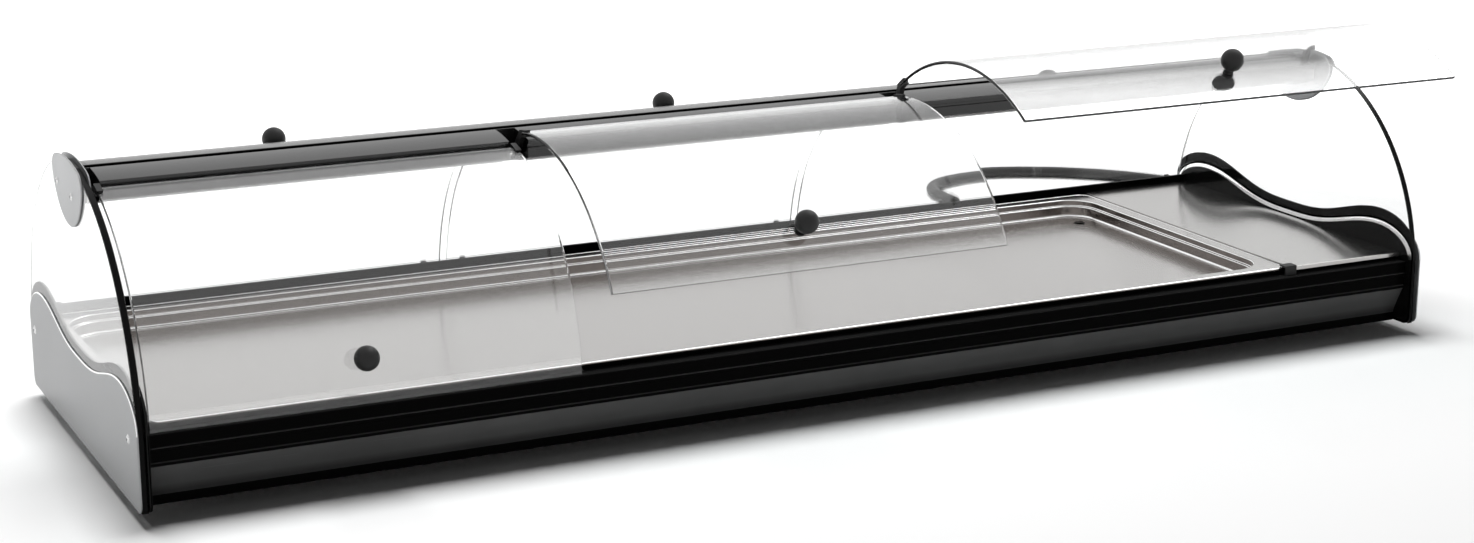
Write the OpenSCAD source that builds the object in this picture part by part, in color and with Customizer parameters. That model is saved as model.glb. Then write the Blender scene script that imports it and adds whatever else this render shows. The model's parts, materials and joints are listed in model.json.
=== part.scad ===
// Ambient display case for a counter: a long curved glass case with three lift-up front doors
// and three tilt-down rear doors. The long axis is X and the customer side faces -Y.
// Sections are drawn in the plane of depth and height, measured from the front edge of the end
// plates and from the counter. The whole case is then moved so that its box is centred in depth.

/* [Case] */
// length over the two outer end plates
case_len = 1260; // [900:10:1800]
// outer radius of all doors, which the depth of the case follows
door_r = 189; // [180:0.5:200]
// height of the rubber feet, which is also the height of the plates' lower edge
foot_h = 10; // [6:1:16]
// distance of the end glass's front edge from the plates' front edge
glass_margin = 5; // [3:0.5:8]
// height of the axis about which the doors and the end glass are curved
arc_z = 58; // [54:1:62]

/* [End stack] */
// thickness of an outer end plate
plate_t = 1.5; // [1:0.5:3]
// thickness of an end glass
glass_t = 6; // [5:1:8]
// thickness of a black cheek
cheek_t = 2; // [1:0.5:3]
// thickness of an inner cover
cover_t = 1.5; // [1:0.5:3]
// how far the end glass reaches beyond the doors
glass_rise = 6; // [5:0.5:8]
// radius of the lower corners of the plates
plate_corner_r = 9; // [4:1:14]
// width of the low rim step around a plate
rim_w = 1.2; // [0.6:0.2:2]
// height of that rim step
rim_h = 0.5; // [0.3:0.1:0.8]
// height at which the plates' upright edges turn into the shoulders
plate_shoulder_z = 75; // [70:1:80]
// height of the plates' two crests
plate_peak_z = 107; // [100:1:112]
// height of the valley between the plates' crests
plate_valley_z = 87; // [84:1:92]
// height at which the cheeks' upright edges turn into the shoulders
cheek_shoulder_z = 85; // [80:1:90]
// height of the cheeks' two crests
cheek_peak_z = 116.5; // [112:0.5:120]
// height of the valley between the cheeks' crests
cheek_valley_z = 94; // [90:1:98]
// depth of the front crest
front_peak_y = 54.5; // [50:0.5:60]
// distance of the rear crest from the rear edge
rear_peak_gap = 57; // [52:1:62]
// how much the valley is broadened against a plain cosine wave
valley_share = 1.6; // [1:0.1:2]

/* [Screws] */
// depth of the front plate screw
front_screw_y = 29; // [27:0.5:31]
// height of the front plate screw
front_screw_z = 65; // [63:0.5:67]
// distance of the rear plate screw from the rear edge
rear_screw_gap = 19.5; // [18:0.5:21]
// height of the rear plate screw
rear_screw_z = 65.8; // [64:0.2:68]
// radius of a plate screw's shank
screw_r = 1.9; // [1.5:0.1:2.5]
// radius of a plate screw's head
screw_head_r = 4; // [3:0.1:5]
// height of the screw heads
screw_head_h = 1.4; // [1:0.1:2.5]
// radius of the hex sockets in the screw heads
socket_r = 1.5; // [1:0.1:2]
// depth of the hex sockets
socket_deep = 0.9; // [0.5:0.1:1.5]
// how far the screws reach into their ports
screw_bite = 14; // [8:1:20]
// radius of a rail screw's shank
rail_screw_r = 1.5; // [1:0.1:2]
// radius of a rail screw's head
rail_screw_head_r = 3.3; // [2.5:0.1:4]
// clearance around screws in holes and ports
screw_gap = 0.1; // [0.05:0.05:0.3]
// wall around a screw port
port_wall = 2.2; // [1.5:0.1:3]

/* [Top rail] */
// how far the rail's crown stands beyond the doors
crown_rise = 2.5; // [2:0.1:3]
// distance of the rail's front face from the curve axis
rail_front_w = 43; // [40:0.5:43]
// distance of the rail's rear face from the curve axis
rail_rear_w = 47; // [43:0.5:48]
// height of the rail from the lowest line of its belly to its crown
rail_h = 30.5; // [29:0.5:32]
// radius of the rail's belly
belly_r = 100; // [90:5:120]
// wall thickness of the rail
rail_wall = 3; // [2:0.5:4]
// distance of the crown groove's front edge from the curve axis
groove_front_w = 8; // [6:0.5:9]
// width of the crown groove
groove_w = 6.5; // [4:0.5:8]
// how deep the crown groove is
groove_deep = 1.6; // [1:0.1:2]
// height of the crown's front edge face
crown_edge_h = 4; // [3:0.5:5]
// width of the shadow recess below that edge
recess_h = 3; // [2:0.5:4]
// how deep the shadow recess is
recess_deep = 2; // [1:0.5:2.5]
// how far the rear door seat stands out behind the rail
seat_reach = 7.9; // [7:0.1:9]
// how far the rear door seat reaches into the rail
seat_root = 3.6; // [3:0.1:5]
// thickness of the rear door seat
seat_t = 2.2; // [1.5:0.1:3]
// thickness of the webs beside a clip notch
web_t = 3; // [2:0.5:5]
// thickness of a rail end plate
cap_t = 1.5; // [1:0.5:3]
// how far a rail end plate stands above the end glass
cap_rise = 5; // [3:0.5:7]
// distance of a rail end plate's front tip from the curve axis
cap_front_w = 54.4; // [53:0.2:56]
// radius of the tips of a rail end plate
cap_tip_r = 14; // [12:1:16]
// height of a rail end plate
cap_h = 58; // [54:1:62]
// distance of the rear rail screw behind the curve axis
rear_rail_screw_w = 36; // [33:0.5:37]
// depth of the rear rail screw below the crown
rear_rail_screw_drop = 18.5; // [18:0.5:19.5]

/* [Front doors] */
// thickness of the doors
door_t = 3; // [2.5:0.5:4]
// distance of the front doors' upper edge in front of the rail
front_top_gap = 5.9; // [5:0.1:7]
// clearance of a closed front door's lower edge above the ledge
front_low_gap = 0.6; // [0.4:0.1:2]
// length of the left front door
front_left_w = 366.75; // [300:0.25:420]
// length of the right front door
front_right_w = 476.25; // [400:0.25:520]
// gap between neighbouring doors
door_gap = 6.5; // [5:0.5:10]
// gap between an end door and the inner cover
end_gap = 1.5; // [1:0.5:3]
// distance of the front hinge rod in front of the curve axis
hinge_w = 17; // [16:0.5:18]
// depth of the front hinge rod below the crown
hinge_drop = 21.5; // [21:0.5:22.5]
// angle that front door 2 is raised in the photographed pose
door_2_raised = 23.1; // [0:0.1:60]
// angle that front door 3 is raised in the photographed pose
door_3_raised = 51.3; // [0:0.1:60]

/* [Rear doors] */
// distance of the rear doors' upper edge behind the rail
rear_top_gap = 3.5; // [3:0.1:6]
// height of the rear doors' lower edge
rear_low_z = 81; // [80:0.5:83]
// length of the left rear door
rear_left_w = 375.25; // [300:0.25:420]
// length of the right rear door
rear_right_w = 474.25; // [400:0.25:520]
// distance of the rear hinge rod from the rear edge of the plates
rear_hinge_gap = 9; // [8.5:0.5:9.5]
// height of the rear hinge rod
rear_hinge_z = 74; // [73.5:0.5:74.5]
// distance of the rear hinge clips from the ends of a door
rear_clip_inset = 14; // [10:1:40]
// angle that a rear door tilts back until its clips' heels meet the channel
rear_open = 95; // [60:5:100]
// clearance of a heel above the channel when its door is fully open
heel_gap = 0.3; // [0.2:0.1:0.6]
// width of a heel
heel_w = 4; // [2:0.5:6]

/* [Hinges] */
// radius of the hinge rods
rod_r = 3; // [2.5:0.1:3.5]
// clearance between a rod and the bores on it
rod_gap = 0.05; // [0.02:0.01:0.1]
// width of a clip along the rod
clip_w = 5; // [4:0.5:8]
// clearance between a clip and what stands beside it
clip_gap = 0.5; // [0.4:0.1:1.5]
// outer radius of a front clip's boss
clip_boss_r = 6; // [5:0.5:6.5]
// thickness of a clip's jaws on each side of a door
jaw_t = 1.5; // [1.2:0.1:2.4]
// angle that a front clip's jaws grip of a door
jaw_angle = 2.5; // [2:0.1:5]
// angle that a rear clip's jaws grip of a door
rear_jaw_angle = 1.5; // [1.2:0.1:4]
// angle of clip body beyond the door's edge
jaw_back_angle = 1.6; // [1:0.1:2]
// width of a front clip's arm
arm_w = 6; // [4:0.5:8]
// distance of a clip notch's rear wall in front of the curve axis
notch_rear_w = 9.8; // [9:0.1:10]
// outer radius of a rear clip's boss
rear_boss_r = 5; // [4.5:0.1:5.2]
// radius of a rear bracket's eye
bracket_r = 4.6; // [4:0.1:5]
// width of a rear bracket along the rod
bracket_w = 5; // [4:0.5:6]
// depth of a rear bracket's foot
bracket_foot = 9; // [7:0.5:9]

/* [Knobs] */
// radius of a ball knob
knob_r = 10.5; // [8:0.5:13]
// distance of a ball's centre from the door's outer face
knob_seat = 13; // [11:0.5:15]
// angle in front of the top of the front knobs
front_knob_angle = 74.3; // [70:0.1:78]
// angle behind the top of the rear knobs
rear_knob_angle = 27.5; // [24:0.5:32]
// places of the front knobs, as shares of their doors' widths
front_knob_shares = [0.482, 0.487, 0.5]; // [0.4:0.001:0.6]
// places of the rear knobs, as shares of their doors' widths
rear_knob_shares = [0.509, 0.507, 0.5]; // [0.4:0.001:0.6]
// radius of the collar under a ball
collar_r = 7; // [5:0.5:9]
// radius of a knob's shank through the door
knob_shank_r = 2.5; // [2:0.1:3]
// clearance between a shank and its hole in the door
knob_gap = 0.2; // [0.1:0.1:0.4]
// radius of the nut inside the door
nut_r = 5.5; // [4:0.5:7]
// height of the nut inside the door
nut_h = 2.5; // [1.5:0.5:4]

/* [Front extrusion] */
// height of the ledge on which the front doors rest
ledge_z = 72.2; // [71.5:0.1:72.3]
// depth of the ledge's front edge
ledge_y = 9.2; // [8.5:0.1:10]
// height of the upper ridge's centre
upper_ridge_z = 59.2; // [57:0.2:61]
// height of the lower ridge's centre
lower_ridge_z = 47.3; // [46:0.1:49]
// height of a ridge's face
ridge_h = 2; // [1:0.2:3]
// how far the ridges stand out
ridge_out = 1; // [0.5:0.1:1.5]
// depth of the face at the knee, where it starts to lean inward
knee_y = 10.3; // [10:0.1:11]
// height of the knee
knee_z = 45.4; // [44.6:0.1:46]
// depth of the toe at the bottom of the leaning face
toe_y = 22.5; // [20:0.5:25]
// height of the toe's upright edge above the plates' lower edge
toe_h = 8; // [5:0.5:12]
// depth of the tray support's front side
prop_y = 24; // [23:0.5:25]
// thickness of the tray support
prop_t = 3; // [2:0.5:3.5]
// height of the tray support
prop_z = 77.9; // [76:0.1:79]
// clearance of the reliefs in the tray supports around the tray's corners
relief_gap = 0.5; // [0.3:0.1:1]
// depth of the front extrusion's inner face
front_inner_y = 34; // [32:0.5:34.5]
// wall thickness of both extrusions
wall_t = 2.5; // [2:0.1:3.5]

/* [Rear extrusion] */
// distance of the outer face from the rear edge of the plates
rear_face_gap = 2; // [1:0.5:3]
// height of the channel under the rear hinge rod
channel_z = 66.5; // [65:0.5:67]
// height of the rim in front of the rear doors
rear_rim_z = 86.3; // [84:0.1:88]
// thickness of that rim
rear_rim_t = 3.5; // [2.5:0.5:4]
// distance of the rim's rear face from the rear edge of the plates
rear_rim_gap = 15; // [14.8:0.1:15.5]
// height of the inner shelf
shelf_z = 75.5; // [74:0.5:76]
// distance of the inner face from the rear edge of the plates
rear_inner_gap = 34; // [33:0.5:35]

/* [Tray] */
// gap between the tray and the left inner cover
tray_end_gap = 1; // [0.5:0.5:2]
// length of the flat deck at the right end
deck_len = 133; // [90:1:200]
// thickness of the pressed sheet
sheet_t = 1; // [0.8:0.1:1.5]
// radius of the rolled edge
bead_r = 1.5; // [1.2:0.1:2]
// depth of the centre of the front rolled edge
bead_y = 22; // [21.8:0.1:22.5]
// distance of the centre of the rear rolled edge from the rear edge of the plates
bead_rear_gap = 25; // [24:0.5:26]
// width of the flange between rolled edge and upper wall
flange_w = 13.5; // [13:0.5:20]
// height of the upper wall of the basin
upper_wall_h = 5; // [3:0.5:8]
// width of the step between the upper and the lower wall
wall_step = 3; // [2:0.5:6]
// height of the basin's floor
floor_z = 62; // [61:0.5:66]
// corner radius of the basin's upper wall
basin_corner_r = 30; // [15:1:45]
// corner radius of the rolled edge
tray_corner_r = 12; // [8:1:20]

/* [Deck] */
// gap between the deck plate and what stands beside it
deck_gap = 0.8; // [0.5:0.1:2]
// depth of the deck plate's front edge
deck_y = 18; // [17:0.5:20]
// distance of the deck plate's rear edge from the rear edge of the plates
deck_rear_gap = 20; // [19:0.5:24]
// thickness of the deck plate
deck_t = 2; // [1.5:0.1:3]
// height of the deck plate's turned-down front lip
deck_lip_h = 4.5; // [3:0.5:5]
// width of the seam clip along the length
seam_clip_w = 13; // [10:1:18]
// depth of the seam clip's front face
seam_clip_y = 16.4; // [16.2:0.1:17]
// how far the seam clip reaches back over the plates
seam_clip_reach = 10; // [6:1:14]
// thickness of the seam clip
seam_clip_t = 1.4; // [1:0.1:1.8]
// gap around the seam clip in the notch of the deck plate's corner
clip_notch_gap = 0.3; // [0.2:0.1:1]

/* [Base] */
// thickness of the base pan
pan_t = 1.5; // [1:0.1:2.5]
// height of the base pan's turned-up flanges
pan_flange_h = 14; // [8:1:20]
// width of a bearer under the tray
bearer_w = 24; // [16:1:40]
// sheet thickness of the bearers
bearer_t = 1.5; // [1:0.1:2.5]
// places of the bearers, as shares of the tray's length
bearer_shares = [0.18, 0.46, 0.74]; // [0.1:0.01:0.9]
// height of a bearer's turned-out foot
bearer_foot = 10; // [6:1:16]
// lengthwise place of the outer feet, measured from an end
foot_inset = 70; // [40:5:120]
// depth of the front feet
foot_y = 62; // [50:1:80]
// distance of the rear feet from the rear edge
foot_rear_gap = 62; // [50:1:80]
// radius of a foot at the counter
foot_r = 13; // [10:0.5:18]
// radius of a foot at the pan
foot_top_r = 11; // [8:0.5:16]
// radius of the plug that holds a foot in the pan
foot_plug_r = 4; // [3:0.5:6]

/* [Drain] */
// distance of the drain hole's centre from the joint of tray and deck
drain_end_gap = 40; // [36:1:80]
// distance of the drain hole's centre from the rear edge of the plates
drain_rear_gap = 75; // [70:1:95]
// radius of the drain hole in the tray
drain_r = 7.8; // [6:0.1:9]
// radius of the drain fitting's flange under the tray
drain_flange_r = 14; // [12:0.5:18]
// thickness of that flange
drain_flange_t = 2; // [1.5:0.5:3]
// outer radius of the drain pipe
pipe_r = 5; // [4:0.1:6]
// wall thickness of the drain pipe
pipe_wall = 1; // [0.6:0.1:1.5]
// bend radius of the drain pipe's centre line
pipe_bend_r = 20; // [15:1:25]
// height at which the drain pipe leaves the case
exit_z = 30; // [24:1:36]
// outer radius of the grommet in the rear extrusion
grommet_r = 10; // [9:0.5:13]
// thickness of the grommet's flange
grommet_t = 2; // [1:0.5:3]

/* [Hose] */
// outer radius of the drain hose
hose_r = 7; // [6:0.5:8]
// number of flat sides around the hose
hose_sides = 10; // [8:1:12]

/* [Hidden] */
// half of the inner length between the two inner covers
inner_x = case_len / 2 - plate_t - glass_t - cheek_t - cover_t;
// radii about the curve axis
glass_r = door_r + glass_rise;
crown_r = door_r + crown_rise;
cap_top_r = glass_r + cap_rise;
knob_seat_r = door_r + knob_seat;
// depth of the curve axis and of the plates' rear edge
arc_y = glass_margin + glass_r;
rear_y = arc_y + glass_r;
// heights below the crown
crown_z = arc_z + crown_r;
belly_z = crown_z - rail_h;
hinge_z = crown_z - hinge_drop;
rear_rail_screw_z = crown_z - rear_rail_screw_drop;
cap_low_z = arc_z + cap_top_r - cap_h;
// depths about the curve axis
rail_front_y = arc_y - rail_front_w;
rail_rear_y = arc_y + rail_rear_w;
groove_y = arc_y - groove_front_w;
hinge_y = arc_y - hinge_w;
rear_rail_screw_y = arc_y + rear_rail_screw_w;
notch_rear_y = arc_y - notch_rear_w;
cap_front_y = arc_y - cap_front_w;
// angles at which the doors and the rear door seat start and end, counted from the top
front_top_angle = asin((rail_front_w + front_top_gap) / door_r);
front_low_angle = acos((ledge_z + front_low_gap - arc_z) / door_r);
rear_top_angle = asin((rail_rear_w + rear_top_gap) / door_r);
rear_low_angle = acos((rear_low_z - arc_z) / door_r);
seat_start_angle = asin((rail_rear_w - seat_root) / door_r);
seat_end_angle = asin((rail_rear_w + seat_reach) / door_r);
// rear hinge axis
rear_hinge_y = rear_y - rear_hinge_gap;
// reach of front door 3's free edge in front of the plates, from its corner's circle about the rod
edge_dy = arc_y - door_r * sin(front_low_angle) - hinge_y;
edge_dz = arc_z + door_r * cos(front_low_angle) - hinge_z;
front_reach = hinge_y + edge_dy * cos(door_3_raised) + edge_dz * sin(door_3_raised);
// depth of the middle of the whole case in the photographed pose
mid_y = (front_reach + rear_y) / 2;
// centres of the gaps between doors, along the length
front_gap_1 = -inner_x + end_gap + front_left_w + door_gap / 2;
front_gap_2 = inner_x - end_gap - front_right_w - door_gap / 2;
rear_gap_1 = -inner_x + end_gap + rear_left_w + door_gap / 2;
rear_gap_2 = inner_x - end_gap - rear_right_w - door_gap / 2;
// centre of the joint between tray and deck, and of the drain hole
seam_x = inner_x - deck_len;
drain_x = seam_x - drain_end_gap;
drain_y = rear_y - drain_rear_gap;
// faces of the end stack on the right-hand side
glass_x = case_len / 2 - plate_t;
cheek_x = glass_x - glass_t;
cover_x = cheek_x - cheek_t;
// half length of the rail between its inner end plates
rail_x = cheek_x - cap_t;
// facets of round parts
$fn = 64;
// depth of the rear tray support's front side
rear_prop_y = rear_y - bead_rear_gap - bead_r - wall_t - prop_t;
// steps along the wave edges
wave_steps = 32;
// steps along a quarter curve
turn_steps = 12;
// overlap with which fused shapes grow together
weld = 0.01;
// spans of the front and the rear doors along the length
front_spans = [[-inner_x + end_gap, front_gap_1 - door_gap / 2],
               [front_gap_1 + door_gap / 2, front_gap_2 - door_gap / 2],
               [front_gap_2 + door_gap / 2, inner_x - end_gap]];
rear_spans = [[-inner_x + end_gap, rear_gap_1 - door_gap / 2],
              [rear_gap_1 + door_gap / 2, rear_gap_2 - door_gap / 2],
              [rear_gap_2 + door_gap / 2, inner_x - end_gap]];
front_raised = [0, door_2_raised, door_3_raised];
// route of the hose's centre line, from the grommet's face to the free end
hose_points = [
  [446, 395, 30], [446, 410, 30], [446, 424, 28], [446, 450, 19], [446, 476, 9],
  [448, 504, 7], [461, 529, 7], [483, 545, 7], [511, 550, 7], [540, 550, 7],
  [568, 550, 7], [596, 550, 7], [625, 550, 7], [653, 550, 7], [682, 550, 7],
  [710, 550, 7], [738, 550, 7], [766, 555, 7], [789, 571, 7], [802, 596, 7],
  [802, 624, 7], [791, 650, 7], [777, 675, 7], [762, 698, 7], [744, 720, 7],
  [723, 740, 7], [701, 758, 7], [677, 773, 7], [652, 786, 7], [625, 796, 7],
  [597, 798, 7], [569, 793, 7], [543, 782, 7], [523, 762, 7], [512, 736, 7],
  [508, 708, 7], [506, 680, 7]];
// colours of the preview
grey = [0.62, 0.63, 0.64];
black = [0.03, 0.03, 0.03];
steel = [0.78, 0.78, 0.77];
clear = [0.85, 0.9, 0.92, 0.35];
bright = [0.8, 0.8, 0.82];
// all sub-parts of the case
// sub-part to build, or all of them

// Shared frames and curves

// moves the case so that its photographed box is centred in depth
module in_place() {
  translate([0, -mid_y, 0])
    children();
}

// extrudes a section of depth and height along the length
module along(x0, x1) {
  translate([x0, 0, 0])
    rotate([90, 0, 90])
      linear_extrude(height = x1 - x0)
        children();
}

// draws the right-hand piece, or its mirror image on the left
module side(left) {
  mirror([left ? 1 : 0, 0, 0])
    children();
}

// point on a circle about the curve axis, the angle counted from the top to the rear
function curve_point(r, angle) = [arc_y + r * sin(angle), arc_z + r * cos(angle)];

// ring segment about the curve axis between two angles
module curve_band(r_out, r_in, from, to) {
  far = 2 * r_out;
  intersection() {
    translate([arc_y, arc_z])
      difference() {
        circle(r = r_out, $fn = 180);
        circle(r = r_in, $fn = 180);
      }
    polygon([curve_point(0, 0), curve_point(far, from), curve_point(far, to)]);
  }
}

// places a piece whose axis is Z on a radius of the curve axis
module on_curve(x, r, angle) {
  p = curve_point(r, angle);
  translate([x, p[0], p[1]])
    rotate([-angle, 0, 0])
      children();
}

// turns a piece about the front hinge rod so that its door is raised
module raised(angle) {
  translate([0, hinge_y, hinge_z])
    rotate([-angle, 0, 0])
      translate([0, -hinge_y, -hinge_z])
        children();
}

// End stack

// wave outline: rounded foot corners, upright edges, quarter-ellipse shoulders, broad valley
function wave_edge(shoulder_z, peak_z, valley_z) =
  let (r = plate_corner_r, z0 = foot_h, y1 = rear_y, yp = y1 - rear_peak_gap)
  concat(
    [for (i = [0 : turn_steps]) let (a = 90 * i / turn_steps) [r - r * sin(a), z0 + r - r * cos(a)]],
    [for (i = [0 : turn_steps]) let (a = 90 * i / turn_steps)
      [front_peak_y * (1 - cos(a)), shoulder_z + (peak_z - shoulder_z) * sin(a)]],
    [for (i = [1 : wave_steps - 1]) let (s = i / wave_steps)
      [front_peak_y + (yp - front_peak_y) * s,
       valley_z + (peak_z - valley_z) * pow((1 + cos(360 * s)) / 2, valley_share)]],
    [for (i = [0 : turn_steps]) let (a = 90 * i / turn_steps)
      [yp + rear_peak_gap * sin(a), shoulder_z + (peak_z - shoulder_z) * cos(a)]],
    [for (i = [0 : turn_steps]) let (a = 90 * i / turn_steps) [y1 - r + r * cos(a), z0 + r - r * sin(a)]]);

// moves each point of a closed outline inward by a distance
function inward(pts, d) =
  [for (i = [0 : len(pts) - 1])
    let (a = pts[(i + len(pts) - 1) % len(pts)], b = pts[(i + 1) % len(pts)], t = (b - a) / norm(b - a))
    pts[i] + d * [t[1], -t[0]]];

// the two holes for the plate screws
module screw_holes(r) {
  translate([front_screw_y, front_screw_z])
    circle(r = r);
  translate([rear_y - rear_screw_gap, rear_screw_z])
    circle(r = r);
}

// the two holes for the rail screws
module rail_holes(r) {
  translate([hinge_y, hinge_z])
    circle(r = r);
  translate([rear_rail_screw_y, rear_rail_screw_z])
    circle(r = r);
}

// wave-edged plate whose outward side carries the low rim step
module wave_plate(x_in, thick, outward, edge) {
  flat = thick - rim_h;
  x_flat = outward ? x_in : x_in + rim_h;
  x_step = outward ? x_in + flat - weld : x_in;
  difference() {
    union() {
      along(x_flat, x_flat + flat)
        polygon(edge);
      along(x_step, x_step + rim_h + weld)
        polygon(inward(edge, rim_w));
    }
    along(x_in - rim_h, x_in + thick + rim_h)
      screw_holes(screw_r + screw_gap);
  }
}

module end_plate(left) {
  color(grey)
    side(left)
      wave_plate(glass_x, plate_t, true, wave_edge(plate_shoulder_z, plate_peak_z, plate_valley_z));
}

module inner_cover(left) {
  color(black)
    side(left)
      wave_plate(inner_x, cover_t, false, wave_edge(plate_shoulder_z, plate_peak_z, plate_valley_z));
}

module cheek(left) {
  color(black)
    side(left)
      along(cover_x, cheek_x)
        difference() {
          polygon(wave_edge(cheek_shoulder_z, cheek_peak_z, cheek_valley_z));
          screw_holes(screw_r + screw_gap);
        }
}

module end_glass(left) {
  color(clear)
    side(left)
      along(cheek_x, glass_x)
        difference() {
          union() {
            translate([arc_y, arc_z])
              circle(r = glass_r, $fn = 180);
            translate([arc_y - glass_r, foot_h])
              square([2 * glass_r, arc_z - foot_h]);
          }
          translate([0, foot_h - 2 * glass_r])
            square([2 * rear_y, 2 * glass_r]);
          screw_holes(screw_r + screw_gap);
          rail_holes(rail_screw_r + screw_gap);
        }
}

module screw(shank_r, head_r, shank_len) {
  dome_r = (head_r * head_r + screw_head_h * screw_head_h) / (2 * screw_head_h);
  difference() {
    union() {
      intersection() {
        translate([0, 0, screw_head_h - dome_r])
          sphere(r = dome_r);
        cylinder(r = head_r, h = screw_head_h);
      }
      translate([0, 0, -shank_len])
        cylinder(r = shank_r, h = shank_len + weld);
    }
    translate([0, 0, screw_head_h - socket_deep])
      cylinder(r = socket_r, h = 2 * socket_deep, $fn = 6);
  }
}

module plate_screws(left) {
  length = case_len / 2 - inner_x + screw_bite;
  color(bright)
    side(left)
      for (p = [[front_screw_y, front_screw_z], [rear_y - rear_screw_gap, rear_screw_z]])
        translate([case_len / 2, p[0], p[1]])
          rotate([0, 90, 0])
            screw(screw_r, screw_head_r, length);
}

module rail_screws(left) {
  length = cap_t + glass_x - rail_x + screw_bite / 2;
  color(bright)
    side(left)
      for (p = [[hinge_y, hinge_z], [rear_rail_screw_y, rear_rail_screw_z]])
        translate([glass_x + cap_t, p[0], p[1]])
          rotate([0, 90, 0])
            screw(rail_screw_r, rail_screw_head_r, length);
}

// Top rail

// lens-shaped end plate: top arc, round tips and a lower arc that meets the tips smoothly
module rail_cap(left, outer) {
  tip_y = cap_front_y + cap_tip_r;
  tip_dy = arc_y - tip_y;
  tip_z = arc_z + sqrt(pow(cap_top_r - cap_tip_r, 2) - tip_dy * tip_dy);
  rise = tip_z - cap_low_z;
  low_r = (tip_dy * tip_dy + rise * rise - cap_tip_r * cap_tip_r) / (2 * (rise - cap_tip_r));
  low_c = cap_low_z + low_r;
  top = curve_point(cap_top_r, atan2(tip_y - arc_y, tip_z - arc_z));
  low = [tip_y, tip_z] + cap_tip_r * ([tip_y, tip_z] - [arc_y, low_c]) / norm([tip_y, tip_z] - [arc_y, low_c]);
  x0 = outer ? glass_x : rail_x;
  color(grey)
    side(left)
      along(x0, x0 + cap_t)
        difference() {
          union() {
            intersection() {
              translate([arc_y, arc_z])
                circle(r = cap_top_r, $fn = 180);
              translate([arc_y, low_c])
                circle(r = low_r, $fn = 120);
              polygon([top, low, [low[0], cap_low_z - low_r], [2 * arc_y - low[0], cap_low_z - low_r],
                       [2 * arc_y - low[0], low[1]], [2 * arc_y - top[0], top[1]],
                       [2 * arc_y - top[0], low_c + low_r], [top[0], low_c + low_r]]);
            }
            translate([tip_y, tip_z])
              circle(r = cap_tip_r);
            translate([2 * arc_y - tip_y, tip_z])
              circle(r = cap_tip_r);
          }
          rail_holes(rail_screw_r + screw_gap);
        }
}

// closed outline of the rail, drawn in by a wall thickness
module rail_outline(wall) {
  intersection() {
    translate([arc_y, arc_z])
      circle(r = crown_r - wall, $fn = 180);
    translate([arc_y, belly_z + belly_r])
      circle(r = belly_r - wall, $fn = 120);
    translate([rail_front_y + wall, belly_z])
      square([rail_rear_y - rail_front_y - 2 * wall, 2 * belly_r]);
  }
}

// groove in the crown, shadow recess in the front face and bores for rod and screw
module rail_cuts() {
  edge_z = arc_z + sqrt(crown_r * crown_r - pow(arc_y - rail_front_y, 2));
  translate([groove_y, arc_z + crown_r - groove_deep])
    square([groove_w, crown_r]);
  translate([rail_front_y - recess_deep, edge_z - crown_edge_h - recess_h])
    square([2 * recess_deep, recess_h]);
  translate([hinge_y, hinge_z])
    circle(r = rod_r + rod_gap);
  translate([rear_rail_screw_y, rear_rail_screw_z])
    circle(r = rail_screw_r + screw_gap);
}

// hollow section with a port for the rod and one for the rear screw
module rail_section() {
  difference() {
    union() {
      difference() {
        rail_outline(0);
        rail_outline(rail_wall);
      }
      intersection() {
        rail_outline(0);
        union() {
          translate([hinge_y, hinge_z])
            circle(r = rod_r + port_wall);
          translate([rear_rail_screw_y, rear_rail_screw_z])
            circle(r = rail_screw_r + port_wall);
        }
      }
      curve_band(door_r - door_t - 2 * rim_gap(), door_r - door_t - 2 * rim_gap() - seat_t,
                 seat_start_angle, seat_end_angle);
    }
    rail_cuts();
  }
}

// clearance with which a closed rear door lies on its seat
function rim_gap() = screw_gap + screw_gap;

// lengthwise spans of the notches in which the front clips swing
function notch_spans() =
  let (reach = door_gap / 2 + clip_w + clip_gap)
  [[-rail_x - weld, front_spans[0][0] + clip_w + clip_gap],
   [front_gap_1 - reach, front_gap_1 + reach],
   [front_gap_2 - reach, front_gap_2 + reach],
   [front_spans[2][1] - clip_w - clip_gap, rail_x + weld]];

module top_rail() {
  color(black)
    difference() {
      union() {
        along(-rail_x, rail_x)
          rail_section();
        for (s = notch_spans())
          for (x = [s[0] - web_t, s[1]])
            if (x > -rail_x && x + web_t < rail_x)
              along(x, x + web_t)
                difference() {
                  rail_outline(0);
                  rail_cuts();
                }
        for (s = notch_spans())
          along(max(s[0], -rail_x), min(s[1], rail_x))
            difference() {
              intersection() {
                rail_outline(0);
                translate([notch_rear_y, belly_z])
                  square([rail_wall, belly_r]);
              }
              rail_cuts();
            }
      }
      for (s = notch_spans())
        translate([s[0], rail_front_y - rail_wall, belly_z - rail_wall])
          cube([s[1] - s[0], notch_rear_y - rail_front_y + rail_wall, crown_r]);
    }
}

module front_hinge_rod() {
  color(bright)
    difference() {
      translate([-rail_x, hinge_y, hinge_z])
        rotate([0, 90, 0])
          cylinder(r = rod_r, h = 2 * rail_x);
      for (x = [-rail_x - weld, rail_x - screw_bite])
        translate([x, hinge_y, hinge_z])
          rotate([0, 90, 0])
            cylinder(r = rail_screw_r + screw_gap / 2, h = screw_bite + weld);
    }
}

// Doors

// place along a door, at a share of its width
function share_x(span, share) = span[0] + (span[1] - span[0]) * share;

module door_panel(span, from, to, knob_share, knob_angle) {
  color(clear)
    difference() {
      along(span[0], span[1])
        curve_band(door_r, door_r - door_t, from, to);
      on_curve(share_x(span, knob_share), door_r - 2 * door_t, knob_angle)
        cylinder(r = knob_shank_r + knob_gap, h = 3 * door_t);
    }
}

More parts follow.
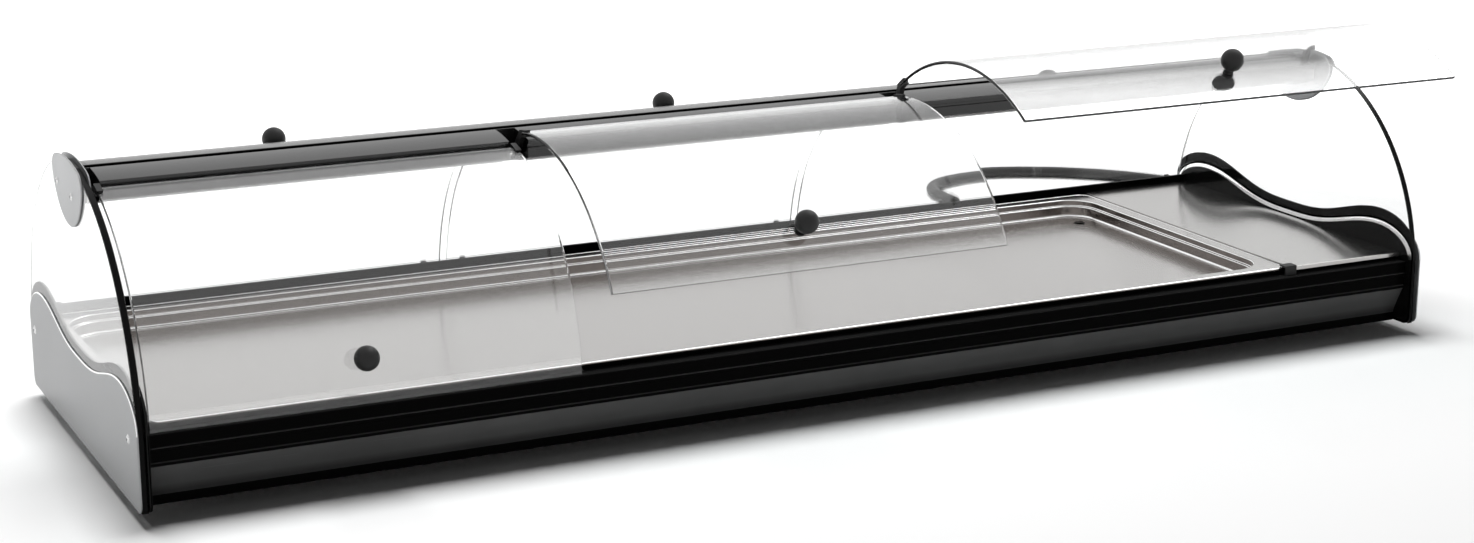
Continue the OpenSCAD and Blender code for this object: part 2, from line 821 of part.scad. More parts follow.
module knob(x, angle) {
  color(black)
    union() {
      on_curve(x, knob_seat_r, angle)
        sphere(r = knob_r);
      on_curve(x, door_r, angle)
        cylinder(r = collar_r, h = knob_seat_r - door_r);
      on_curve(x, door_r - door_t - nut_h, angle)
        cylinder(r = knob_shank_r, h = knob_seat_r - door_r + door_t + nut_h);
      on_curve(x, door_r - door_t - nut_h, angle)
        cylinder(r = nut_r, h = nut_h);
    }
}

// section of a front clip: boss on the rod, arm and jaws around the door's upper edge
module front_clip_section() {
  grip = curve_point(door_r - door_t / 2, -front_top_angle + jaw_back_angle / 2);
  boss = [hinge_y, hinge_z];
  t = (grip - boss) / norm(grip - boss);
  n = arm_w / 2 * [t[1], -t[0]];
  difference() {
    union() {
      translate(boss)
        circle(r = clip_boss_r);
      polygon([boss + n, boss - n, grip - n, grip + n]);
      curve_band(door_r + jaw_t, door_r - door_t - jaw_t,
                 -front_top_angle - jaw_angle, -front_top_angle + jaw_back_angle);
    }
    translate(boss)
      circle(r = rod_r + rod_gap);
    curve_band(door_r, door_r - door_t, -front_low_angle, -front_top_angle);
  }
}

module front_clips(span) {
  color(black)
    union() {
      along(span[0], span[0] + clip_w)
        front_clip_section();
      along(span[1] - clip_w, span[1])
        front_clip_section();
    }
}

// section of a rear clip: boss on the rod and jaws around the door's lower edge
module rear_clip_section() {
  difference() {
    union() {
      translate([rear_hinge_y, rear_hinge_z])
        circle(r = rear_boss_r);
      curve_band(door_r + jaw_t, door_r - door_t - jaw_t, rear_low_angle - rear_jaw_angle,
                 rear_low_angle + jaw_back_angle);
      translate([rear_hinge_y, rear_hinge_z])
        rotate([0, 0, rear_open - 90])
          translate([0, -heel_w / 2])
            square([rear_hinge_z - channel_z - heel_gap, heel_w]);
    }
    translate([rear_hinge_y, rear_hinge_z])
      circle(r = rod_r + rod_gap);
    curve_band(door_r, door_r - door_t, rear_top_angle, rear_low_angle);
  }
}

module rear_clips(span) {
  color(black)
    union() {
      along(span[0] + rear_clip_inset, span[0] + rear_clip_inset + clip_w)
        rear_clip_section();
      along(span[1] - rear_clip_inset - clip_w, span[1] - rear_clip_inset)
        rear_clip_section();
    }
}

module front_door(i) {
  raised(front_raised[i])
    door_panel(front_spans[i], -front_low_angle, -front_top_angle, front_knob_shares[i], -front_knob_angle);
}

module front_door_clips(i) {
  raised(front_raised[i])
    front_clips(front_spans[i]);
}

module front_door_knob(i) {
  raised(front_raised[i])
    knob(share_x(front_spans[i], front_knob_shares[i]), -front_knob_angle);
}

module rear_door(i) {
  door_panel(rear_spans[i], rear_top_angle, rear_low_angle, rear_knob_shares[i], rear_knob_angle);
}

module rear_door_knob(i) {
  knob(share_x(rear_spans[i], rear_knob_shares[i]), rear_knob_angle);
}

module rear_hinge_rod() {
  color(bright)
    translate([-inner_x + end_gap / 2, rear_hinge_y, rear_hinge_z])
      rotate([0, 90, 0])
        cylinder(r = rod_r, h = 2 * inner_x - end_gap);
}

// eyes beside each clip that carry the rear rod on the rear extrusion
module rear_hinge_brackets() {
  near = rear_clip_inset - clip_gap - bracket_w;
  color(black)
    for (s = rear_spans)
      for (x = [s[0] + near, s[1] - near - bracket_w])
        along(x, x + bracket_w)
          difference() {
            union() {
              translate([rear_hinge_y, rear_hinge_z])
                circle(r = bracket_r);
              translate([rear_hinge_y - bracket_foot / 2, channel_z])
                square([bracket_foot, rear_hinge_z - channel_z]);
            }
            translate([rear_hinge_y, rear_hinge_z])
              circle(r = rod_r + rod_gap);
          }
}

// Extrusions

// blend points of the leaning face between toe and knee, as parts of its run and rise
lean_shares = [[0.08, 0.12], [0.24, 0.33], [0.44, 0.51], [0.66, 0.69], [0.86, 0.87]];

// outline of the front extrusion, drawn in by a wall thickness on its outer side
function front_edge(w) =
  let (toe = [toe_y, foot_h + toe_h], knee = [knee_y, knee_z], run = knee - toe)
  concat(
    [[toe_y + w, foot_h + w], toe + [w, 0]],
    [for (s = lean_shares) toe + [run[0] * s[0] + w, run[1] * s[1]]],
    [knee + [w, 0]]);

// outer corners of a ridge whose lower flank starts at the point before
function ridge_points(z) =
  [[ledge_y, z - ridge_h / 2], [ledge_y, z + ridge_h / 2], [ledge_y + ridge_out, z + ridge_h]];

module front_section() {
  face_y = ledge_y + ridge_out;
  difference() {
    polygon(concat(
      front_edge(0),
      ridge_points(lower_ridge_z),
      [[face_y, upper_ridge_z - ridge_h]],
      ridge_points(upper_ridge_z),
      [[face_y, ledge_z - ridge_h], [ledge_y, ledge_z - ridge_h], [ledge_y, ledge_z],
       [prop_y, ledge_z], [prop_y, prop_z], [prop_y + prop_t, prop_z], [prop_y + prop_t, ledge_z],
       [front_inner_y, ledge_z - prop_t], [front_inner_y, foot_h]]));
    difference() {
      polygon(concat(
        front_edge(wall_t),
        [[face_y + wall_t, ledge_z - wall_t], [prop_y, ledge_z - wall_t],
         [prop_y, front_screw_z - screw_r - port_wall], [front_inner_y - wall_t, lower_ridge_z],
         [front_inner_y - wall_t, foot_h + wall_t]]));
      translate([front_screw_y, front_screw_z])
        circle(r = screw_r + port_wall);
    }
    translate([front_screw_y, front_screw_z])
      circle(r = screw_r + screw_gap / 2);
  }
}

// cuts a tray support back at the tray's round corners
module corner_reliefs(y0, y1) {
  x0 = -inner_x + tray_end_gap + bead_r;
  x1 = seam_x - deck_gap / 2 - bead_r;
  reach = tray_corner_r + relief_gap;
  for (span = [[-inner_x - relief_gap, x0 + reach], [x1 - reach, x1 + bead_r + relief_gap]])
    translate([span[0], y0, shelf_z])
      cube([span[1] - span[0], y1 - y0, 2 * bead_r + relief_gap]);
}

module front_extrusion() {
  color(black)
    difference() {
      along(-inner_x, inner_x)
        front_section();
      corner_reliefs(prop_y - relief_gap, prop_y + prop_t + relief_gap);
    }
}

module rear_section() {
  face = rear_y - rear_face_gap;
  rim = rear_y - rear_rim_gap;
  inner = rear_y - rear_inner_gap;
  port_y = rear_y - rear_screw_gap;
  difference() {
    polygon([[inner, foot_h], [inner, shelf_z], [rear_prop_y, shelf_z], [rear_prop_y, prop_z],
             [rear_prop_y + prop_t, prop_z], [rear_prop_y + prop_t, shelf_z],
             [rim - rear_rim_t, shelf_z], [rim - rear_rim_t, rear_rim_z], [rim, rear_rim_z],
             [rim, channel_z], [face, channel_z], [face, foot_h]]);
    translate([inner + wall_t, foot_h + wall_t])
      square([face - inner - 2 * wall_t, rear_screw_z - screw_r - 2 * port_wall - foot_h - wall_t]);
    translate([port_y, rear_screw_z])
      circle(r = screw_r + screw_gap / 2);
  }
}

module rear_extrusion() {
  color(black)
    difference() {
      along(-inner_x, inner_x)
        rear_section();
      corner_reliefs(rear_prop_y - relief_gap, rear_prop_y + prop_t + relief_gap);
      translate([drain_x, rear_y, exit_z])
        rotate([90, 0, 0])
          cylinder(r = grommet_r - grommet_t, h = 2 * rear_inner_gap);
    }
}

// Tray, deck and base

// rectangle with true round corners between two corner points
module round_rect(x0, y0, x1, y1, r) {
  translate([x0 + r, y0])
    square([x1 - x0 - 2 * r, y1 - y0]);
  translate([x0, y0 + r])
    square([x1 - x0, y1 - y0 - 2 * r]);
  for (x = [x0 + r, x1 - r])
    for (y = [y0 + r, y1 - r])
      translate([x, y])
        circle(r = r);
}

// round bead along a rectangle with round corners, its centre line on the rectangle
module bead_ring(x0, y0, x1, y1, r, bead) {
  for (y = [y0, y1])
    translate([x0 + r, y, 0])
      rotate([0, 90, 0])
        cylinder(r = bead, h = x1 - x0 - 2 * r);
  for (x = [x0, x1])
    translate([x, y0 + r, 0])
      rotate([-90, 0, 0])
        cylinder(r = bead, h = y1 - y0 - 2 * r);
  for (c = [[x0 + r, y0 + r, 180], [x1 - r, y0 + r, 270], [x1 - r, y1 - r, 0], [x0 + r, y1 - r, 90]])
    translate([c[0], c[1], 0])
      rotate([0, 0, c[2]])
        rotate_extrude(angle = 90)
          translate([r, 0])
            circle(r = bead, $fn = 24);
}

module tray() {
  x0 = -inner_x + tray_end_gap + bead_r;
  x1 = seam_x - deck_gap / 2 - bead_r;
  y0 = bead_y;
  y1 = rear_y - bead_rear_gap;
  up = flange_w;
  lo = flange_w + wall_step;
  flange_z = prop_z;
  step_z = flange_z - upper_wall_h;
  color(steel)
    difference() {
      union() {
        translate([0, 0, flange_z])
          bead_ring(x0, y0, x1, y1, tray_corner_r, bead_r);
        translate([0, 0, flange_z])
          linear_extrude(height = sheet_t)
            round_rect(x0, y0, x1, y1, tray_corner_r);
        translate([0, 0, step_z - sheet_t])
          linear_extrude(height = upper_wall_h + sheet_t + weld)
            round_rect(x0 + up - sheet_t, y0 + up - sheet_t, x1 - up + sheet_t, y1 - up + sheet_t,
                       basin_corner_r + sheet_t);
        translate([0, 0, floor_z - sheet_t])
          linear_extrude(height = step_z - floor_z)
            round_rect(x0 + lo - sheet_t, y0 + lo - sheet_t, x1 - lo + sheet_t, y1 - lo + sheet_t,
                       basin_corner_r - wall_step + sheet_t);
      }
      translate([0, 0, step_z])
        linear_extrude(height = rear_rim_z)
          round_rect(x0 + up, y0 + up, x1 - up, y1 - up, basin_corner_r);
      translate([0, 0, floor_z])
        linear_extrude(height = rear_rim_z)
          round_rect(x0 + lo, y0 + lo, x1 - lo, y1 - lo, basin_corner_r - wall_step);
      translate([drain_x, drain_y, floor_z - 2 * sheet_t])
        cylinder(r = drain_r, h = 3 * sheet_t);
    }
}

module deck_plate() {
  x0 = seam_x + deck_gap / 2;
  x1 = inner_x - deck_gap;
  y1 = rear_y - deck_rear_gap;
  top = prop_z + deck_t + weld;
  notch_x = seam_x + seam_clip_w / 2 + clip_notch_gap;
  notch_y = seam_clip_y + seam_clip_reach + clip_notch_gap;
  color(steel)
    difference() {
      union() {
        translate([x0, deck_y, top - deck_t])
          cube([x1 - x0, y1 - deck_y, deck_t]);
        translate([x0, deck_y, top - deck_lip_h])
          cube([x1 - x0, deck_t, deck_lip_h]);
      }
      translate([x0 - deck_gap, deck_y - deck_gap, top - 2 * deck_lip_h])
        cube([notch_x - x0 + deck_gap, notch_y - deck_y + deck_gap, 3 * deck_lip_h]);
    }
}

module seam_clip() {
  top = prop_z + deck_t + weld;
  x0 = seam_x - seam_clip_w / 2;
  color(black)
    union() {
      translate([x0, seam_clip_y, top])
        cube([seam_clip_w, seam_clip_reach, seam_clip_t]);
      translate([x0, seam_clip_y, ledge_z])
        cube([seam_clip_w, seam_clip_t, top - ledge_z + seam_clip_t]);
    }
}

module base_pan() {
  y0 = front_inner_y;
  y1 = rear_y - rear_inner_gap;
  color(steel)
    difference() {
      union() {
        translate([-inner_x, y0, foot_h])
          cube([2 * inner_x, y1 - y0, pan_t]);
        for (y = [y0, y1 - pan_t])
          translate([-inner_x, y, foot_h])
            cube([2 * inner_x, pan_t, pan_flange_h]);
      }
      for (p = foot_places())
        translate([p[0], p[1], 0])
          cylinder(r = foot_plug_r + screw_gap, h = 2 * foot_h);
    }
}

// hat-shaped bearers across the base, with their crowns just under the basin
module bearers() {
  y0 = front_inner_y + pan_t;
  y1 = rear_y - rear_inner_gap - pan_t;
  top = floor_z - sheet_t;
  low = foot_h + pan_t;
  color(steel)
    for (share = bearer_shares)
      translate([-inner_x + share * (seam_x + inner_x), y0, 0])
        rotate([90, 0, 180])
          mirror([1, 0, 0])
            linear_extrude(height = y1 - y0)
              polygon([[-bearer_w / 2, low], [-bearer_w / 2 - bearer_foot, low],
                       [-bearer_w / 2 - bearer_foot, low + bearer_t], [-bearer_w / 2, low + bearer_t],
                       [-bearer_w / 2, top], [bearer_w / 2, top], [bearer_w / 2, low + bearer_t],
                       [bearer_w / 2 + bearer_foot, low + bearer_t], [bearer_w / 2 + bearer_foot, low],
                       [bearer_w / 2 - bearer_t, low], [bearer_w / 2 - bearer_t, top - bearer_t],
                       [-bearer_w / 2 + bearer_t, top - bearer_t], [-bearer_w / 2 + bearer_t, low]]);
}

// channel under the joint: one upright carries the tray's flange, the other the deck
module seam_bearer() {
  y0 = front_inner_y + pan_t;
  y1 = rear_y - rear_inner_gap - pan_t;
  low = foot_h + pan_t;
  tray_x = seam_x - deck_gap / 2 - 2 * bead_r - deck_gap - bearer_t;
  color(steel)
    union() {
      translate([tray_x, y0, low])
        cube([bearer_t, y1 - y0, prop_z - low]);
      translate([seam_x, y0, low])
        cube([bearer_t, y1 - y0, prop_z - low]);
      translate([tray_x, y0, low])
        cube([seam_x - tray_x + bearer_t, y1 - y0, bearer_t]);
      translate([seam_x, y0, prop_z - bearer_t])
        cube([bearer_foot, y1 - y0, bearer_t]);
    }
}

function foot_places() =
  [for (x = [-case_len / 2 + foot_inset, 0, case_len / 2 - foot_inset])
    for (y = [foot_y, rear_y - foot_rear_gap])
      [x, y]];

module feet() {
  color(black)
    for (p = foot_places())
      translate([p[0], p[1], 0]) {
        cylinder(r1 = foot_r, r2 = foot_top_r, h = foot_h);
        cylinder(r = foot_plug_r, h = foot_h + pan_t + weld);
        translate([0, 0, foot_h + pan_t])
          cylinder(r1 = foot_plug_r + screw_r, r2 = foot_plug_r, h = pan_t);
      }
}

// Drain

module drain_fitting() {
  color(steel)
    translate([drain_x, drain_y, floor_z - sheet_t])
      difference() {
        union() {
          translate([0, 0, -drain_flange_t])
            cylinder(r = drain_flange_r, h = drain_flange_t);
          translate([0, 0, -3 * drain_flange_t])
            cylinder(r = drain_r, h = 3 * drain_flange_t);
        }
        translate([0, 0, -4 * drain_flange_t])
          cylinder(r = pipe_r + rod_gap, h = 5 * drain_flange_t);
      }
}

// pipe from the fitting down, round one bend and out through the rear extrusion
module drain_pipe() {
  top = floor_z - sheet_t - drain_flange_t;
  bend_y = drain_y + pipe_bend_r;
  bend_z = exit_z + pipe_bend_r;
  inner = pipe_r - pipe_wall;
  face = rear_y - rear_face_gap + grommet_t;
  color(black)
    difference() {
      union() {
        translate([drain_x, drain_y, bend_z])
          cylinder(r = pipe_r, h = top - bend_z);
        pipe_elbow(bend_y, bend_z, pipe_r);
        translate([drain_x, bend_y, exit_z])
          rotate([-90, 0, 0])
            cylinder(r = pipe_r, h = face - bend_y);
      }
      translate([drain_x, drain_y, bend_z])
        cylinder(r = inner, h = top - bend_z + weld);
      pipe_elbow(bend_y, bend_z, inner);
      translate([drain_x, bend_y, exit_z])
        rotate([-90, 0, 0])
          cylinder(r = inner, h = face - bend_y + weld);
    }
}

// quarter bend from straight down to straight rearward
module pipe_elbow(y, z, r) {
  translate([drain_x, y, z])
    rotate([0, 90, 0])
      rotate([0, 0, 270])
        rotate_extrude(angle = 90)
          translate([pipe_bend_r, 0])
            circle(r = r, $fn = 32);
}

module grommet() {
  face = rear_y - rear_face_gap;
  color(black)
    translate([drain_x, face, exit_z])
      rotate([-90, 0, 0])
        difference() {
          union() {
            cylinder(r = grommet_r, h = grommet_t);
            translate([0, 0, -wall_t])
              cylinder(r = grommet_r - grommet_t - screw_gap, h = wall_t + weld);
            translate([0, 0, -wall_t - grommet_t])
              cylinder(r = grommet_r, h = grommet_t);
          }
          translate([0, 0, -wall_t - 2 * grommet_t])
            cylinder(r = pipe_r + rod_gap, h = wall_t + 4 * grommet_t);
        }
}

// tube swept along a row of points, with closed flat ends
module swept_tube(pts, r, sides) {
  n = len(pts);
  rings = [for (i = [0 : n - 1])
    let (t = pts[min(i + 1, n - 1)] - pts[max(i - 1, 0)],
         u = cross(t, [0, 0, 1]) / norm(cross(t, [0, 0, 1])),
         v = cross(u, t) / norm(cross(u, t)))
    for (k = [0 : sides - 1])
      let (a = 360 * (k + 0.5) / sides)
      pts[i] + r * (cos(a) * u + sin(a) * v)];
  skin = [for (i = [0 : n - 2])
    for (k = [0 : sides - 1])
      let (a = i * sides + k, b = i * sides + (k + 1) % sides)
      each [[a, b, b + sides], [a, b + sides, a + sides]]];
  ends = [for (k = [1 : sides - 2])
    each [[0, k + 1, k], [(n - 1) * sides, (n - 1) * sides + k, (n - 1) * sides + k + 1]]];
  polyhedron(points = rings, faces = concat(skin, ends));
}

// hose that leaves the grommet, sinks to the counter and lies round in a hook
module drain_hose() {
  color(black)
    swept_tube(hose_points, hose_r, hose_sides);
}

// Assembly

in_place() end_plate(true);  // left_end_plate
in_place() end_plate(false);  // right_end_plate
in_place() end_glass(true);  // left_end_glass
in_place() end_glass(false);  // right_end_glass
in_place() cheek(true);  // left_cheek
in_place() cheek(false);  // right_cheek
in_place() inner_cover(true);  // left_inner_cover
in_place() inner_cover(false);  // right_inner_cover
in_place() rail_cap(true, true);  // left_rail_cap_outer
in_place() rail_cap(false, true);  // right_rail_cap_outer
in_place() rail_cap(true, false);  // left_rail_cap_inner
in_place() rail_cap(false, false);  // right_rail_cap_inner
in_place() plate_screws(true);  // left_plate_screws
in_place() plate_screws(false);  // right_plate_screws
in_place() rail_screws(true);  // left_rail_screws
in_place() rail_screws(false);  // right_rail_screws
in_place() top_rail();
in_place() front_hinge_rod();
in_place() rear_hinge_rod();
in_place() rear_hinge_brackets();
in_place() front_extrusion();
in_place() rear_extrusion();
in_place() tray();
in_place() deck_plate();
in_place() seam_clip();
in_place() base_pan();
in_place() bearers();
in_place() seam_bearer();
in_place() drain_fitting();
in_place() drain_pipe();
in_place() grommet();
in_place() drain_hose();
in_place() feet();
in_place() front_door(0);  // front_door_1
in_place() front_door(1);  // front_door_2
in_place() front_door(2);  // front_door_3
in_place() front_door_clips(0);  // front_clips_1
in_place() front_door_clips(1);  // front_clips_2
in_place() front_door_clips(2);  // front_clips_3
in_place() front_door_knob(0);  // front_knob_1
in_place() front_door_knob(1);  // front_knob_2
in_place() front_door_knob(2);  // front_knob_3
in_place() rear_door(0);  // rear_door_1
in_place() rear_door(1);  // rear_door_2
in_place() rear_door(2);  // rear_door_3
in_place() rear_clips(rear_spans[0]);  // rear_clips_1
in_place() rear_clips(rear_spans[1]);  // rear_clips_2
in_place() rear_clips(rear_spans[2]);  // rear_clips_3
in_place() rear_door_knob(0);  // rear_knob_1
in_place() rear_door_knob(1);  // rear_knob_2
in_place() rear_door_knob(2);  // rear_knob_3
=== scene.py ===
# %% [markdown]
# # An ambient display case
# A long counter case: a black aluminium base with a pressed steel tray, two curved glass ends in
# wave-edged plates, and six curved clear doors that hang between the ends, three on each side.
# The solid model of the case is loaded as a fixed frame. Everything made here sits around it, in
# metres, with the length along X, the customer side towards -Y and the counter at Z = 0.

# %% Load the frame
import json

import bmesh
import bpy
import numpy as np
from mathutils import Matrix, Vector


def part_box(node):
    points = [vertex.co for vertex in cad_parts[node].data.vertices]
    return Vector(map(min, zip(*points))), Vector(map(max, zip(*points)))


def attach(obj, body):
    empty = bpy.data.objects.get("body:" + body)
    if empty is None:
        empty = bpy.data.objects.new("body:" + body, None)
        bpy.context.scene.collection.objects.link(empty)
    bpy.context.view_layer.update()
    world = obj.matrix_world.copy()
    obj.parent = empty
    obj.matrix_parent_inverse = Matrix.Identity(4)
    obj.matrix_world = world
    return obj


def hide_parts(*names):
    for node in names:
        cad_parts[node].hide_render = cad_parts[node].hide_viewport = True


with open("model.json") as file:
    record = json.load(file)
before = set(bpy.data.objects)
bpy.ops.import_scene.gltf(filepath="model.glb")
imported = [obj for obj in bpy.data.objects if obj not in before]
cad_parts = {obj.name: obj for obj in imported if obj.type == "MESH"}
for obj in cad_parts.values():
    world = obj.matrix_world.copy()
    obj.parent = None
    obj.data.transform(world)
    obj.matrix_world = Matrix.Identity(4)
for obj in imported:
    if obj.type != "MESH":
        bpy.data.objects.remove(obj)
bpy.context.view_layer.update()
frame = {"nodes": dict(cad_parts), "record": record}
FRONT_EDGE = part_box("left_end_plate")[0].y
print("loaded", len(frame["nodes"]), "nodes; front edge of the plates at y", round(FRONT_EDGE, 4))

# %% [markdown]
# ## Camera
# A photograph of a long object is easiest to match when the lens is known. Seven straight edges
# of the case, which are parallel in reality, were enough to find the camera's place and its
# focal length, so it is set down here as a real camera: a place, two turns and a lens.

# %% Set up the camera
CAMERA_PLACE = (-1.0715, -2.1290, 0.7157)
CAMERA_TILT = 0.255
CAMERA_TURN = -0.456
CAMERA_LENS = 64.7
SENSOR_WIDTH = 36.0

camera_data = bpy.data.cameras.new("camera")
camera_data.lens = CAMERA_LENS
camera_data.sensor_width = SENSOR_WIDTH
camera_data.sensor_fit = "HORIZONTAL"
camera = bpy.data.objects.new("camera", camera_data)
camera.location = CAMERA_PLACE
camera.rotation_euler = (np.pi / 2 - CAMERA_TILT, 0, CAMERA_TURN)
bpy.context.scene.collection.objects.link(camera)
bpy.context.scene.camera = camera
print("camera", CAMERA_LENS, "mm, tilted down by", round(np.degrees(CAMERA_TILT), 1), "degrees")

# %% [markdown]
# ## Meshes from formulas
# Almost every piece of the case is either a section carried along the length, a sheet, or a
# turned part. Such forms don't need hand work: a grid of points, computed at once as an array,
# gives clean four-sided faces and exact sizes. These helpers turn a grid into a mesh and give
# it a body to ride on, a finish and the solid that it stands for.

# %% Turn a grid of points into a mesh
SHARP_ANGLE = np.radians(40)
MERGE_DISTANCE = 1e-6


def grid_mesh(name, points, close_rows=False):
    """Mesh of a grid of points, given as rows of rings. Neighbouring rings are joined by
    four-cornered faces; each ring closes on itself. The first and the last ring get a cap,
    or, with close_rows, are joined to each other."""
    rows, ring, _ = points.shape
    i = np.arange(rows if close_rows else rows - 1)[:, None]
    j = np.arange(ring)[None, :]
    up, right = (i + 1) % rows, (j + 1) % ring
    faces = np.stack([i * ring + j, i * ring + right, up * ring + right, up * ring + j], -1)
    faces = faces.reshape(-1, 4).tolist()
    if not close_rows:
        faces += [list(range(ring))[::-1], list(range((rows - 1) * ring, rows * ring))]
    mesh = bpy.data.meshes.new(name)
    mesh.from_pydata(points.reshape(-1, 3).tolist(), [], faces)
    return mesh


def tidy_mesh(mesh):
    """Merges doubled points, turns all faces outwards and marks the edges that stay crisp."""
    work = bmesh.new()
    work.from_mesh(mesh)
    bmesh.ops.remove_doubles(work, verts=work.verts, dist=MERGE_DISTANCE)
    bmesh.ops.recalc_face_normals(work, faces=work.faces)
    work.to_mesh(mesh)
    work.free()
    mesh.shade_smooth()
    mesh.set_sharp_from_angle(angle=SHARP_ANGLE)
    return mesh


def add_piece(name, mesh, body, finish, stands_for=(), flat_faces=True):
    """Object for a finished mesh: it rides on a body, takes a finish and hides the solids that
    it stands for. On a piece with flat faces, normals weighted by area keep these flat."""
    piece = bpy.data.objects.new(name, mesh)
    bpy.context.scene.collection.objects.link(piece)
    mesh.materials.append(finish)
    if flat_faces:
        piece.modifiers.new("flat faces", "WEIGHTED_NORMAL").keep_sharp = True
    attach(piece, body)
    if stands_for:
        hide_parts(*stands_for)
    return piece


def extra_finish(mesh, finish, chosen):
    """Gives one more finish to the faces that pass a test of their centres and normals."""
    count = len(mesh.polygons)
    centre, normal, index = np.empty(3 * count), np.empty(3 * count), np.empty(count, int)
    mesh.polygons.foreach_get("center", centre)
    mesh.polygons.foreach_get("normal", normal)
    mesh.polygons.foreach_get("material_index", index)
    index[chosen(centre.reshape(-1, 3), normal.reshape(-1, 3))] = len(mesh.materials)
    mesh.materials.append(finish)
    mesh.polygons.foreach_set("material_index", index)


# %% [markdown]
# A carried section needs two more tools: one that rounds its corners, because no real edge is
# perfectly sharp and the highlight on an edge is what makes metal look like metal, and one that
# draws the outline in a little at the ends, so that the ends are bevelled too.

# %% Round, inset and carry an outline
CORNER_STEPS = 5
BEVEL_STEPS = 3
SMOOTH_TURN = np.radians(14)
EDGE_SHARE = 0.48


def rounded(outline, radius):
    """Closed outline whose corners are arcs. An arc touches both edges of its corner at radius
    over the tangent of the half angle, or at EDGE_SHARE of the shorter edge if that is nearer.
    Its points are the circle's centre plus directions turned evenly from one edge's touching
    point to the other's. Slight turns are left alone."""
    corner = np.asarray(outline, float)
    radius = np.broadcast_to(np.asarray(radius, float), len(corner))
    back, ahead = np.roll(corner, 1, 0) - corner, np.roll(corner, -1, 0) - corner
    back_len, ahead_len = np.linalg.norm(back, axis=1), np.linalg.norm(ahead, axis=1)
    back, ahead = back / back_len[:, None], ahead / ahead_len[:, None]
    angle = np.arccos(np.clip((back * ahead).sum(1), -1, 1))
    turn = np.pi - angle
    bent = (turn > SMOOTH_TURN) & (radius > 0)
    half = np.where(bent, angle / 2, np.pi / 4)
    reach = np.minimum(radius / np.tan(half), EDGE_SHARE * np.minimum(back_len, ahead_len))
    r = reach * np.tan(half)
    middle = np.where(bent[:, None], back + ahead, 1)
    centre = corner + middle / np.linalg.norm(middle, axis=1)[:, None] * (r / np.sin(half))[:, None]
    start, end = corner + back * reach[:, None] - centre, corner + ahead * reach[:, None] - centre
    share = np.linspace(0, 1, CORNER_STEPS)[None, :, None]
    swing = np.where(bent, turn, 1)[:, None, None]
    arc = np.sin((1 - share) * swing) * start[:, None] + np.sin(share * swing) * end[:, None]
    arc = np.where(bent[:, None, None], centre[:, None] + arc / np.sin(swing), corner[:, None])
    kept = bent[:, None] | (np.arange(CORNER_STEPS) == 0)[None, :]
    return arc[kept]


def inset(outline, distance):
    """Closed outline moved inwards: each point goes along the bisector of its two edges'
    inward normals, stretched by one over the cosine of half the turn."""
    edge = np.roll(outline, -1, 0) - outline
    normal = np.stack([-edge[:, 1], edge[:, 0]], 1) / np.linalg.norm(edge, axis=1)[:, None]
    area = (outline[:, 0] * np.roll(outline[:, 1], -1) - np.roll(outline[:, 0], -1) * outline[:, 1]).sum()
    normal = normal * np.sign(area)
    bisector = normal + np.roll(normal, 1, 0)
    return outline + distance * bisector * (2 / (bisector**2).sum(1))[:, None]


def carried(outline, stations):
    """Points of an outline of depth and height that is carried along the length. Each station
    is a place on X and how far the outline is drawn in there."""
    rings = [np.column_stack([np.full(len(outline), x), inset(outline, d)]) for x, d in stations]
    return np.stack(rings)


def bevelled_ends(x0, x1, bevel):
    """Stations from x0 to x1 whose ends are rounded by a quarter circle of radius bevel."""
    turn = np.linspace(0, np.pi / 2, BEVEL_STEPS + 1)
    rise, drawn_in = bevel * (1 - np.cos(turn)), bevel * (1 - np.sin(turn))
    first = [(x0 + a, d) for a, d in zip(rise, drawn_in)]
    last = [(x1 - a, d) for a, d in zip(rise[::-1], drawn_in[::-1])]
    return first + last


def bar(name, outline, x0, x1, bevel, corner=0.0):
    """Mesh of a section carried from x0 to x1, with rounded corners and rounded ends."""
    shape = rounded(outline, corner) if np.any(corner) else np.asarray(outline, float)
    shape = shape + [FRONT_EDGE, 0]
    return tidy_mesh(grid_mesh(name, carried(shape, bevelled_ends(x0, x1, bevel))))


def arc_points(centre, radius, start, end, count):
    """Points on a circle, at angles in degrees counted from straight up towards the rear."""
    angle = np.radians(np.linspace(start, end, count))
    return np.stack([centre[0] + radius * np.sin(angle), centre[1] + radius * np.cos(angle)], 1)


# %% [markdown]
# ## Shader arithmetic
# A finish is easier to read as a formula than as a web of nodes. A small class stands for a
# number that varies over the surface, and adding or multiplying two of them adds the Math node.
# Colours are blended by a Mix node, because a Math node would turn them grey.

# %% A number that varies over a surface
class Varying:
    """A socket with arithmetic: each operator adds one Math node to the finish."""

    def __init__(self, finish, socket):
        self.finish, self.socket = finish, socket

    def math(self, operation, *values):
        sockets = dict(enumerate(values))
        return self.finish.node("ShaderNodeMath", {"operation": operation}, sockets)

    def __add__(self, other):
        return self.math("ADD", self, other)

    def __mul__(self, other):
        return self.math("MULTIPLY", self, other)

    def __sub__(self, other):
        return self.math("SUBTRACT", self, other)

    def __rsub__(self, other):
        return self.math("SUBTRACT", other, self)

    __radd__, __rmul__ = __add__, __mul__


